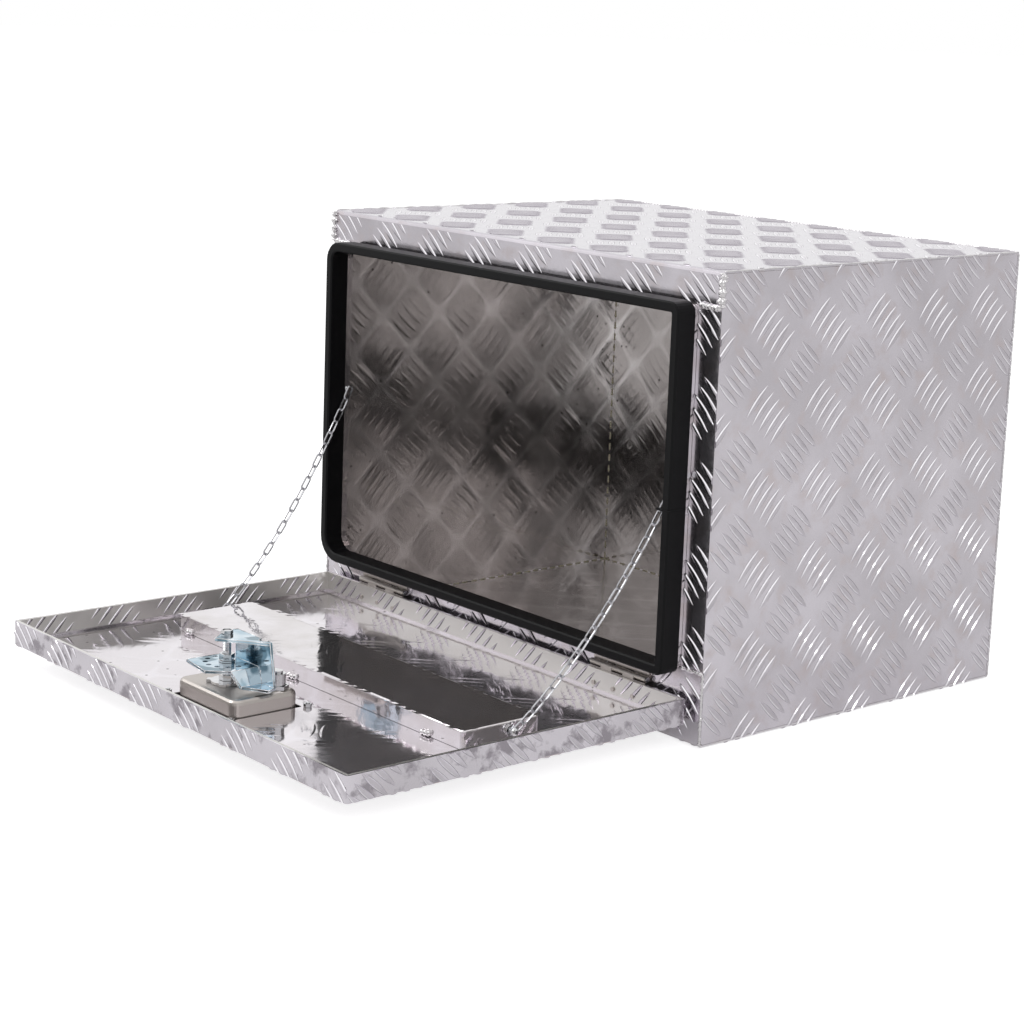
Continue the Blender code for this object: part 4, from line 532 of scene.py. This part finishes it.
# The door is open at its top, so its inner region goes on above it.
ABOVE_DOOR = 100 * MM
DOOR_SHEET = rolled_sheet(
    "rolled_aluminium_door", DOOR_LOW + SKIN_ALL_ROUND, DOOR_HIGH + Vector((-SKIN, -SKIN, ABOVE_DOOR)),
    stain=("#A29CA3", 26 * MM, 0.6), inner_codes=("#EEEAEF", "#E4DFE3", "#E6E1E5"), inner_rough=(0.06, 0.12),
    swell_start=(DOOR_LOW.x + RIM + PRINT_SHIFT, DOOR_LOW.y + RIM + PRINT_SHIFT, DOOR_LOW.z + SHEET),
    swell_depth=0.25 * MM, metallic=0.9, hem=DOOR_LOW.z + SHEET + 1 * MM,
)
# The near-white flanks are a painted highlight, and the dark feet are a painted shade.
BARS = (
    pressed_bars("worn_bar_tops", "#DAD5DC", "#C8C3C9", 0.12, 0.2),
    pressed_bars("painted_highlight_bar_flanks", "#FAF8FC", "#EFECF1", 0.06, 0.12),
    pressed_bars("painted_shade_at_bar_feet", "#8A868C", "#A09CA2", 0.3, 0.4),
)
# On the box's top, the bars that lean across the view are painted darker, a painted shade.
TOP_BARS = (
    pressed_bars("painted_shade_top_bar_tops", "#C9C4CB", "#BEB9C0", 0.16, 0.26),
    pressed_bars("painted_shade_top_bar_flanks", "#C2BDC4", "#B6B1B8", 0.2, 0.3),
    BARS[2],
)
SMOOTH = smooth_sheet()
WELD = weld_metal()
SEAM = seam_weld()
RUBBER = seal_rubber()
STAINLESS = stainless()
ZINC = zinc_plate()
WIRE = bright_zinc("bright_zinc_wire", "#D2D2D6", "#B9B9BD", 0.2, 0.3)
TURNED = bright_zinc("bright_zinc_turned", "#E6E6E8", "#CFD0D2", 0.06, 0.14)
NODE_FINISHES = {
    "tread": TREAD, "aluminium": SMOOTH, "rubber": RUBBER, "stainless": STAINLESS,
    "zinc": ZINC, "chain": WIRE, "rivet": WIRE,
}
TURNED_NODES = (
    "pawl_nut_", "pawl_washer_", "spindle_", "latch_spindle", "lock_", "latch_pan_nut_", "latch_pan_screw_",
    "chain_box_rivet_", "chain_door_rivet_",
)


def dress_nodes():
    """Gives every CAD node the finish of its material slot, and the door and the turned parts their own."""
    for row in frame["record"]["subparts"]:
        finish = NODE_FINISHES[row["material_slot"]]
        if row["node"] == "door_pan":
            finish = DOOR_SHEET
        elif row["node"].startswith(TURNED_NODES):
            finish = TURNED
        for slot in frame["nodes"][row["node"]].material_slots:
            slot.material = finish


def add_piece(name, points, faces, finishes, body, smooth=True):
    """Makes one mesh piece that moves with a body."""
    mesh = bpy.data.meshes.new(name)
    mesh.from_pydata(points, [], faces)
    for finish in finishes:
        mesh.materials.append(finish)
    mesh.polygons.foreach_set("use_smooth", [smooth] * len(mesh.polygons))
    piece = bpy.data.objects.new(name, mesh)
    bpy.context.scene.collection.objects.link(piece)
    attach(piece, body)
    return piece


# A bar one unit long: its points, its faces, its sharp edges by number, and the finish of each face.
Bar = namedtuple("Bar", "points faces sharp layers")


def bar_shape(section, creases, layers, width, height, sunk):
    """One bar with the given section, drawn out over a pointed oval and closed underneath."""
    points = [(-0.5, 0.0, 0.0)]
    rows = []
    for step in range(1, BAR_STEPS):
        along = -0.5 * math.cos(math.pi * step / BAR_STEPS)
        taper = 1 - abs(2 * along) ** BAR_TAPER
        rise = height * min(1.0, BAR_SHOULDER * taper)
        rows.append(range(len(points), len(points) + len(section)))
        points += [(along, width * across * taper, rise * high) for across, high in section]
    points.append((0.5, 0.0, 0.0))
    last = len(points) - 1
    faces = []
    for j in range(len(section) - 1):
        faces.append((0, rows[0][j], rows[0][j + 1])[::-1])
        faces.append((last, rows[-1][j + 1], rows[-1][j])[::-1])
        faces += [(near[j], near[j + 1], far[j + 1], far[j])[::-1] for near, far in zip(rows, rows[1:])]
    rim = [0] + [row[0] for row in rows] + [last] + [row[-1] for row in rows[::-1]]
    faces.append(tuple(rim[::-1]))
    sharp = set()
    for j in (0, *creases, len(section) - 1):
        line = [0] + [row[j] for row in rows] + [last]
        sharp |= {min(a, b) * len(points) + max(a, b) for a, b in zip(line, line[1:])}
    face_layers = [layer for layer in layers for _ in range(BAR_STEPS)] + [0]
    return Bar(np.array(points) - (0, 0, sunk), faces, sorted(sharp), face_layers)


PRESSED_BAR = bar_shape(BAR_SECTION, BAR_CREASES, BAR_LAYERS, BAR_WIDTH, BAR_HEIGHT, BAR_SUNK)
# The bars on the hem are worn down, and those on the top are a little lower.
HEM_BAR = bar_shape(BAR_SECTION, BAR_CREASES, BAR_LAYERS, 0.6 * BAR_WIDTH, 0.7 * BAR_HEIGHT, BAR_SUNK)
TOP_BAR = bar_shape(BAR_SECTION, BAR_CREASES, BAR_LAYERS, BAR_WIDTH, 0.8 * BAR_HEIGHT, BAR_SUNK)
PRINTED_BAR = bar_shape(PRINT_SECTION, (), PRINT_LAYERS, PRINT_WIDTH, PRINT_HEIGHT, PRINT_SUNK)

# A flat face of the sheet: its corner, the two ways in which it runs from there, and how far.
Face = namedtuple("Face", "corner along up wide high")


def share_on_face(start, stop, face):
    """The part of a bar's middle line that lies on a face, as two shares of its length."""
    low, top = 0.0, 1.0
    for a, b, limit in ((start.x, stop.x, face.wide), (start.y, stop.y, face.high)):
        for sign in (1, -1):
            first, second = sign * a, sign * b
            edge = limit - FACE_MARGIN if sign > 0 else -FACE_MARGIN
            if first > edge and second > edge:
                return None
            if first > edge:
                low = max(low, (first - edge) / (first - second))
            elif second > edge:
                top = min(top, (edge - first) / (second - first))
    return (low, top) if top > low else None


def group_places(face, place, lean):
    """Where on a face the groups of bars lie, and which way their bars point.

    Every second group leans the other way, and a lean of 0 or 1 asks for one kind only. On a strip that is
    too narrow for two rows of groups, those whose middle is off the strip are left out.
    """
    half = TREAD_PITCH / 2
    # The groups start before the face's corner and go on past its far side, and the bars are cut off later.
    columns, rows = (2 * (int(size / TREAD_PITCH) + 3) for size in (face.wide, face.high))
    for i in range(-2, columns):
        for j in range(-2, rows):
            if (i + j) % 2 or lean not in (None, i % 2):
                continue
            middle = Vector((i * half + place[0], j * half + place[1]))
            if face.high < half and not 0 < middle.y < face.high:
                continue
            turn = math.radians(TREAD_TURN if i % 2 else TREAD_TURN - 90)
            yield middle, Vector((math.cos(turn), math.sin(turn)))


def bar_places(face, place, lean, keep):
    """Where on a face the bars lie, and which way they point and widen."""
    for middle, way in group_places(face, place, lean):
        side = Vector((-way.y, way.x))
        for k in range(BARS_IN_GROUP):
            centre = middle + side * (k - (BARS_IN_GROUP - 1) / 2) * BAR_SPACING
            start, stop = centre - way * BAR_LENGTH / 2, centre + way * BAR_LENGTH / 2
            span = share_on_face(start, stop, face)
            if not span or (span[1] - span[0]) * BAR_LENGTH < SHORTEST_BAR:
                continue
            if keep and not all(keep(start.lerp(stop, share)) for share in span):
                continue
            yield centre, way, side


def cut_to_face(mesh, face):
    """Cuts a mesh off where it leaves a face, and closes the cuts."""
    corner, along, up = face.corner, face.along, face.up
    shape = bmesh.new()
    shape.from_mesh(mesh)
    for place, way in (
        (corner + along * FACE_MARGIN, -along), (corner + along * (face.wide - FACE_MARGIN), along),
        (corner + up * FACE_MARGIN, -up), (corner + up * (face.high - FACE_MARGIN), up),
    ):
        cut = bmesh.ops.bisect_plane(
            shape, geom=shape.verts[:] + shape.edges[:] + shape.faces[:], plane_co=place, plane_no=way,
            clear_outer=True, dist=CUT_TOLERANCE,
        )
        lines = [part for part in cut["geom_cut"] if isinstance(part, bmesh.types.BMEdge)]
        for end in bmesh.ops.holes_fill(shape, edges=lines)["faces"]:
            end.material_index = 0
            end.smooth = False
        for line in lines:
            line.smooth = False
    bmesh.ops.recalc_face_normals(shape, faces=shape.faces)
    shape.to_mesh(mesh)
    shape.free()


def tread(name, face, body, place, bar=PRESSED_BAR, finishes=BARS, keep=None, lean=None):
    """Covers a flat face with the tread pattern, or with only one of its two leans.

    A group's middle lies at the given place. Keep tells which points of the face may carry a bar.
    """
    count = len(bar.points)
    out = face.along.cross(face.up)
    points, faces = [], []
    for centre, way, side in bar_places(face, place, lean, keep):
        lengthwise = face.along * way.x + face.up * way.y
        crosswise = face.along * side.x + face.up * side.y
        turned = np.array([lengthwise * BAR_LENGTH, crosswise, out])
        base = len(points) * count
        middle = face.corner + face.along * centre.x + face.up * centre.y
        points.append(bar.points @ turned + np.array(middle))
        faces.extend(tuple(base + n for n in bar_face) for bar_face in bar.faces)
    piece = add_piece(name, np.concatenate(points).tolist(), faces, finishes, body)
    mesh = piece.data
    # Every bar has the same points in the same order, so an edge's place in its bar tells if it is sharp.
    ends = np.empty(2 * len(mesh.edges), dtype=np.int32)
    mesh.edges.foreach_get("vertices", ends)
    ends = np.sort((ends % count).reshape(-1, 2), axis=1)
    sharp = np.isin(ends[:, 0] * count + ends[:, 1], bar.sharp)
    mesh.attributes.new("sharp_edge", "BOOLEAN", "EDGE").data.foreach_set("value", sharp)
    mesh.polygons.foreach_set("material_index", bar.layers * len(points))
    cut_to_face(mesh, face)


def make_camera():
    """Puts the camera where the photograph was taken."""
    back = Vector((
        math.sin(CAMERA_AZIMUTH) * math.cos(CAMERA_ELEVATION),
        -math.cos(CAMERA_AZIMUTH) * math.cos(CAMERA_ELEVATION),
        math.sin(CAMERA_ELEVATION),
    ))
    level = UP.cross(back).normalized()
    above = back.cross(level)
    right = math.cos(CAMERA_ROLL) * level + math.sin(CAMERA_ROLL) * above
    up = -math.sin(CAMERA_ROLL) * level + math.cos(CAMERA_ROLL) * above
    camera = bpy.data.objects.new("camera", bpy.data.cameras.new("camera"))
    camera.data.lens = CAMERA_LENS
    camera.data.sensor_width = CAMERA_SENSOR
    camera.data.shift_x = CAMERA_SHIFT_X
    camera.data.shift_y = CAMERA_SHIFT_Y
    camera.data.clip_start = CAMERA_NEAR
    camera.matrix_world = Matrix.Translation(CAMERA_PLACE) @ Matrix((right, up, back)).transposed().to_4x4()
    bpy.context.scene.collection.objects.link(camera)
    bpy.context.scene.camera = camera


def make_surround():
    """A white surround for the eye, which is softer as light, and darker toward the room in a mirror."""
    world = bpy.data.worlds.new("white_surround")
    world.use_nodes = True
    tree = world.node_tree
    tree.nodes.clear()
    aim = add_node(tree, "TexCoord")["Generated"]
    toward = add_node(tree, "VectorMath", {0: aim, 1: BACKDROP_SIDE}, operation="DOT_PRODUCT")["Value"]
    reach = {"From Min": 0.0, "From Max": BACKDROP_REACH, "To Min": ROOM_LIGHT, "To Max": 1.0}
    mirrored = add_node(tree, "MapRange", {"Value": toward, **reach})["Result"]
    path = add_node(tree, "LightPath")
    seen = {0: path["Is Camera Ray"], 1: path["Is Transmission Ray"]}
    seen = add_node(tree, "Math", seen, operation="MAXIMUM")[0]
    shade = add_node(tree, "Mix", {"Factor": path["Is Glossy Ray"], 2: SOFT_LIGHT, 3: mirrored})[0]
    shade = add_node(tree, "Mix", {"Factor": seen, 2: shade, 3: 1.0})[0]
    sky = add_node(tree, "Background", {"Color": (1, 1, 1, 1), "Strength": shade})[0]
    add_node(tree, "OutputWorld", {"Surface": sky})
    bpy.context.scene.world = world
    bpy.context.scene.view_settings.view_transform = "Standard"


def make_floor():
    """A plain pale floor that keeps the object's shadow and adds some white of its own."""
    material, tree, _ = new_material("pale_floor")
    path = add_node(tree, "LightPath")
    matte = add_node(tree, "BsdfDiffuse", {"Color": "#DCDCDC"})[0]
    seen = add_node(tree, "Math", {0: path["Is Camera Ray"], 1: FLOOR_GLOW_SEEN}, operation="MULTIPLY")[0]
    mirrored = {0: path["Is Glossy Ray"], 1: path["Is Transmission Ray"]}
    mirrored = add_node(tree, "Math", mirrored, operation="MAXIMUM")[0]
    glow = add_node(tree, "Math", {0: mirrored, 1: FLOOR_GLOW_MIRRORED, 2: seen}, operation="MULTIPLY_ADD")[0]
    white = add_node(tree, "Emission", {"Color": (1, 1, 1, 1), "Strength": glow})[0]
    both = add_node(tree, "AddShader", {0: matte, 1: white})[0]
    add_node(tree, "OutputMaterial", {"Surface": both})
    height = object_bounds()[0].z
    corners = ((-1, -1), (1, -1), (1, 1), (-1, 1))
    mesh = bpy.data.meshes.new("floor")
    mesh.from_pydata([(x * FLOOR_REACH, y * FLOOR_REACH, height) for x, y in corners], [], [(0, 1, 2, 3)])
    mesh.materials.append(material)
    floor = bpy.data.objects.new("floor", mesh)
    bpy.context.scene.collection.objects.link(floor)


def make_lamps():
    """The soft lamps, which all point at the object."""
    for name, place, size, power in LAMPS:
        light = bpy.data.lights.new(name, "AREA")
        light.size = size
        light.energy = power
        lamp = bpy.data.objects.new(name, light)
        lamp.location = place
        lamp.rotation_mode = "QUATERNION"
        lamp.rotation_quaternion = (Vector(LAMP_AIM) - Vector(place)).to_track_quat("-Z", "Y")
        bpy.context.scene.collection.objects.link(lamp)


def make_box_treads():
    """The tread pattern on the outside of the box.

    The front lips and the top end at the bends. On the top, each lean of the pattern has its own finish: one
    lean is painted darker, as shade.
    """
    low, high = BOX_LOW, BOX_HIGH
    wide, deep, tall = high - low
    lower, upper = OPENING_LOW.z - low.z, high.z - OPENING_HIGH.z
    top = Face(Vector((low.x, low.y + BEND, high.z)), RIGHT, BACK, wide, deep - BEND)
    top_place = (TOP_PLACE[0], TOP_PLACE[1] - BEND)
    # This lean carries the painted shade.
    tread("tread_top", top, "box", top_place, TOP_BAR, TOP_BARS, lean=1)
    tread("tread_top_cross", top, "box", top_place, TOP_BAR, lean=0)
    upper_lip = Face(Vector((low.x, low.y, high.z - upper)), RIGHT, UP, wide, upper - BEND)
    tread("tread_upper_lip", upper_lip, "box", (UPPER_LIP_PLACE, upper / 2))
    lower_lip = Face(Vector((low.x, low.y, low.z + BEND)), RIGHT, UP, wide, lower - BEND)
    tread("tread_lower_lip", lower_lip, "box", (LOWER_LIP_PLACE, lower / 2 - BEND))
    jamb = high.x - OPENING_HIGH.x
    for side, across in (("left", low.x), ("right", OPENING_HIGH.x)):
        corner = Vector((across, low.y, OPENING_LOW.z))
        face = Face(corner, RIGHT, UP, jamb, OPENING_HIGH.z - OPENING_LOW.z)
        tread("tread_jamb_" + side, face, "box", JAMB_PLACE)
    right_side = Face(Vector((high.x, low.y, low.z)), BACK, UP, deep, tall)
    left_side = Face(Vector((low.x, high.y, low.z)), FRONT, UP, deep, tall)
    tread("tread_side_right", right_side, "box", SIDE_PLACE)
    tread("tread_side_left", left_side, "box", SIDE_PLACE)
    tread("tread_back", Face(Vector((high.x, high.y, low.z)), LEFT, UP, wide, tall), "box", BACK_PLACE)
    bottom = Face(Vector((low.x, high.y, low.z)), RIGHT, FRONT, wide, deep - BEND)
    tread("tread_bottom", bottom, "box", BOTTOM_PLACE)


def make_prints():
    """The faint print of the tread on the inner faces of the box."""
    low, high = BOX_LOW + Vector((SHEET,) * 3), BOX_HIGH - Vector((SHEET,) * 3)
    wide, deep, tall = high - low
    half = TREAD_PITCH / 2
    across, back = -SHEET, deep % half
    back_corner = Vector((low.x, high.y, low.z))
    right_corner = Vector((high.x, high.y, low.z))
    top_corner = Vector((low.x, high.y, high.z))
    for name, face, place in (
        ("back", Face(back_corner, RIGHT, UP, wide, tall), (across, PRINT_SHIFT)),
        ("left", Face(low, BACK, UP, deep, tall), (back, PRINT_SHIFT)),
        ("right", Face(right_corner, FRONT, UP, deep, tall), (0.0, half + PRINT_SHIFT)),
        ("bottom", Face(low, RIGHT, BACK, wide, deep), (across, back)),
        ("top", Face(top_corner, RIGHT, FRONT, wide, deep), (across + half, 0.0)),
    ):
        tread("print_" + name, face, "box", place, PRINTED_BAR, (TREAD,))


def clear_of(face, nodes, margin):
    """Gives a test of whether a point of a level face is clear of the given nodes."""
    boxes = [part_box(node) for node in nodes]

    def clear(point):
        """True where the point is further than the margin from every node, seen from above."""
        place = face.corner + face.along * point.x + face.up * point.y
        return not any(
            low.x - margin < place.x < high.x + margin and low.y - margin < place.y < high.y + margin
            for low, high in boxes
        )

    return clear


def make_door_treads():
    """The tread on the door's skin and rim, which the hem carries over to the rim's inner face."""
    low, high = DOOR_LOW, DOOR_HIGH
    wide, deep, tall = high - low
    skin = Face(Vector((low.x, high.y, low.z)), RIGHT, FRONT, wide, deep)
    keep = clear_of(skin, ("latch_pan",), HOLE_MARGIN)
    tread("tread_door_skin", skin, "door", DOOR_SKIN_PLACE, keep=keep)
    for side, corner, along, length, start in (
        ("front", (low.x, low.y), RIGHT, wide, RIM_FRONT_PLACE),
        ("right", (high.x, low.y), BACK, deep, RIM_SIDE_PLACE),
        ("back", (high.x, high.y), LEFT, wide, RIM_BACK_PLACE),
        ("left", (low.x, high.y), FRONT, deep, RIM_SIDE_PLACE),
    ):
        face = Face(Vector((*corner, low.z)), along, UP, length, tall)
        tread("tread_rim_" + side, face, "door", (start, RIM_PLACE_UP))
    near, far = low + Vector((RIM,) * 3), high - Vector((RIM,) * 3)
    wide, deep, _ = far - near
    for side, corner, along, length in (
        ("front", (far.x, near.y), LEFT, wide),
        ("right", (far.x, far.y), FRONT, deep),
        ("back", (near.x, far.y), RIGHT, wide),
        ("left", (near.x, near.y), BACK, deep),
    ):
        face = Face(Vector((*corner, high.z - HEM)), along, UP, length, HEM)
        tread("tread_hem_" + side, face, "door", HEM_PLACE, HEM_BAR)
    floor = Face(Vector((near.x, near.y, low.z + SHEET)), RIGHT, BACK, wide, deep)
    keep = clear_of(floor, ("latch_pan", "stiffener_channel"), FLOOR_MARGIN)
    tread("print_door", floor, "door", (PRINT_SHIFT, PRINT_SHIFT), PRINTED_BAR, (DOOR_SHEET,), keep=keep)


def make_stiffener_print():
    """The faint print of the tread on the stiffener's top."""
    low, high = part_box("stiffener_channel")
    wide, deep, _ = high - low
    top = Face(Vector((low.x, low.y, high.z)), RIGHT, BACK, wide, deep)
    tread("print_stiffener", top, "door", (STIFFENER_PLACE, deep / 2), PRINTED_BAR, (SMOOTH,))


def add_ring(points, centre, first, second, radius, sides):
    """Adds a ring of points round a centre, in the plane of two ways."""
    for k in range(sides):
        angle = 2 * math.pi * k / sides
        points.append(tuple(centre + (first * math.cos(angle) + second * math.sin(angle)) * radius))


def close_rings(faces, base, rings, sides):
    """Joins a run of rings with faces and closes both ends."""
    for ring in range(rings - 1):
        for k in range(sides):
            a, b = base + ring * sides + k, base + ring * sides + (k + 1) % sides
            faces.append((a, b, b + sides, a + sides))
    faces.append(tuple(base + k for k in range(sides))[::-1])
    faces.append(tuple(base + (rings - 1) * sides + k for k in range(sides)))


def add_bead(name, start, stop, bead, body="box", finish=WELD, dashes=None):
    """A lumpy weld bead along a straight joint, in one run or in dashes with a space after each."""
    start, stop = Vector(start), Vector(stop)
    radius, lump, pitch = bead
    length = (stop - start).length
    way = (stop - start).normalized()
    first = way.orthogonal().normalized()
    second = way.cross(first)
    dash, space = dashes or (length, 0.0)
    points, faces = [], []
    at = 0.0
    while at < length - SAME_PLACE:
        end = min(at + dash, length)
        rows = max(FEWEST_STEPS, round((end - at) / (pitch / BEAD_STEPS)))
        base = len(points)
        lump_now = None
        for k in range(rows + 1):
            along = at + (end - at) * k / rows
            if int(along / pitch) != lump_now:
                lump_now = int(along / pitch)
                size = random.uniform(*LUMP_SIZES)
                drift = (first * random.uniform(-1, 1) + second * random.uniform(-1, 1)) * radius * lump
            rise = math.sin(math.pi * (along / pitch % 1.0))
            swell = 1 + lump * (2 * rise * size - 1)
            closing = min(1.0, BEAD_TIP + BEAD_TIP_STEP * min(k, rows - k))
            centre = start + way * along + drift * rise
            add_ring(points, centre, first, second, radius * swell * closing, BEAD_SIDES)
        close_rings(faces, base, rows + 1, BEAD_SIDES)
        at = end + space
    add_piece(name, points, faces, (finish,), body)


def make_welds():
    """The welds at the box's corners and edges. The upper corners and joints have a second pass."""
    low, high = BOX_LOW, BOX_HIGH
    front, back = low.y, high.y
    lower, upper = OPENING_LOW.z, OPENING_HIGH.z
    foot, head = low.z + BEAD_INSET, high.z - BEAD_INSET
    bottom = low.z + BOTTOM_BEAD_INSET
    for side, sign in (("left", -1), ("right", 1)):
        edge, jamb = sign * high.x, sign * (OPENING_HIGH.x + BEAD_INSET)
        for kind, start, stop in (
            ("upper_corner", (edge, front, upper), (edge, front, head)),
            ("upper_corner_pass", (edge, front, upper + PASS_INSET), (edge, front, high.z - PASS_INSET)),
            ("lower_corner", (edge, front, foot), (edge, front, lower)),
            ("upper_joint", (jamb, front, upper), (edge, front, upper)),
            ("upper_joint_pass", (jamb, front, upper), (edge, front, upper)),
            ("lower_joint", (jamb, front, lower), (edge, front, lower)),
            ("top_edge", (edge, front, high.z), (edge, back, high.z)),
            ("bottom_edge", (edge, front, bottom), (edge, back, bottom)),
            ("back_edge", (edge, back, foot), (edge, back, head)),
        ):
            add_bead("weld_%s_%s" % (kind, side), start, stop, BEADS[kind])
    for name, height in (("top", high.z), ("bottom", foot)):
        add_bead("weld_back_" + name, (low.x, back, height), (high.x, back, height), BEADS["back_edge"])


def make_seams():
    """The thin seam welds in the inner corners of the box, in short dashes."""
    left, front, floor = BOX_LOW + Vector((SEAM_INSET,) * 3)
    right, back, roof = BOX_HIGH - Vector((SEAM_INSET,) * 3)
    for name, start, stop in (
        ("back_floor", (left, back, floor), (right, back, floor)),
        ("left_floor", (left, front, floor), (left, back, floor)),
        ("left_back", (left, back, floor), (left, back, roof)),
        ("right_back", (right, back, floor), (right, back, roof)),
        ("right_floor", (right, front, floor), (right, back, floor)),
    ):
        add_bead("seam_" + name, start, stop, BEADS["seam"], finish=SEAM, dashes=SEAM_DASH)


def make_tacks():
    """The tack welds along the foot of the stiffener."""
    low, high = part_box("stiffener_channel")
    half = (high.x - low.x) / 2
    height = low.z + TACK_RISE
    rows = (("front", low.y + TACK_RISE, TACKS_FRONT), ("rear", high.y - TACK_RISE, TACKS_REAR))
    for side, across, shares in rows:
        for number, share in enumerate(shares):
            start, stop = (share * half + end for end in (-TACK_HALF, TACK_HALF))
            ends = (start, across, height), (stop, across, height)
            add_bead("tack_%s_%d" % (side, number), *ends, BEADS["tack"], "door")


def make_seal_joint():
    """The butt joint of the rubber seal, half-way up the right side."""
    low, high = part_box("door_seal")
    near, far = high.x - SEAL_BAND - SEAL_JOINT_LIP, high.x + SEAL_JOINT_LIP
    front, back = low.y - SEAL_JOINT_LIP, high.y
    heights = (SEAL_JOINT_HEIGHT - SEAL_JOINT_HALF, SEAL_JOINT_HEIGHT + SEAL_JOINT_HALF)
    corners = ((near, front), (far, front), (far, back), (near, back))
    points = [(x, y, z) for z in heights for x, y in corners]
    faces = []
    close_rings(faces, 0, len(heights), len(corners))
    add_piece("seal_joint", points, faces, (RUBBER,), "box", smooth=False)


def make_bracket_edges():
    """The bracket's cut edges, where the plating is thickest and brightest."""
    shape = bmesh.new()
    shape.from_mesh(frame["nodes"]["pawl_bracket"].data)
    bmesh.ops.remove_doubles(shape, verts=shape.verts, dist=SAME_PLACE)
    points, faces = [], []
    for edge in shape.edges:
        crisp = len(edge.link_faces) == 2 and edge.calc_face_angle(0.0) > SHARP_ANGLE
        if not crisp or edge.calc_length() <= SHORTEST_EDGE:
            continue
        start, stop = edge.verts[0].co, edge.verts[1].co
        way = (stop - start).normalized()
        first = way.orthogonal().normalized()
        base = len(points)
        for centre in (start, stop):
            add_ring(points, centre, first, way.cross(first), EDGE_RADIUS, EDGE_SIDES)
        close_rings(faces, base, 2, EDGE_SIDES)
    shape.free()
    add_piece("bracket_bright_edges", points, faces, (TURNED,), "latch")


def make_spindle_thread():
    """The thread on the latch spindle, under its top nut: a three-sided ridge that winds round it."""
    low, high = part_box("latch_spindle")
    middle = (low + high) / 2
    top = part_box("spindle_top_nut")[0].z
    turns = THREAD_LENGTH / THREAD_PITCH
    steps = round(turns * THREAD_STEPS)
    section = ((-THREAD_ROOT, -THREAD_PITCH / 2), (THREAD_DEPTH, 0.0), (-THREAD_ROOT, THREAD_PITCH / 2))
    points, faces = [], []
    for k in range(steps + 1):
        angle = 2 * math.pi * turns * k / steps
        way = Vector((math.cos(angle), math.sin(angle), 0.0))
        height = top - THREAD_LENGTH * (1 - k / steps)
        for out, rise in section:
            points.append(tuple(Vector((middle.x, middle.y, height + rise)) + way * (SPINDLE_RADIUS + out)))
    for k in range(steps):
        for m in range(3):
            a, b = 3 * k + m, 3 * k + (m + 1) % 3
            faces.append((a, a + 3, b + 3, b))
    faces.append((0, 1, 2))
    faces.append((3 * steps + 2, 3 * steps + 1, 3 * steps))
    add_piece("spindle_thread", points, faces, (TURNED,), "latch", smooth=False)


make_camera()
dress_nodes()
make_box_treads()
make_prints()
make_door_treads()
make_stiffener_print()
make_welds()
make_seams()
make_tacks()
make_seal_joint()
make_bracket_edges()
make_spindle_thread()
make_surround()
make_floor()
make_lamps()
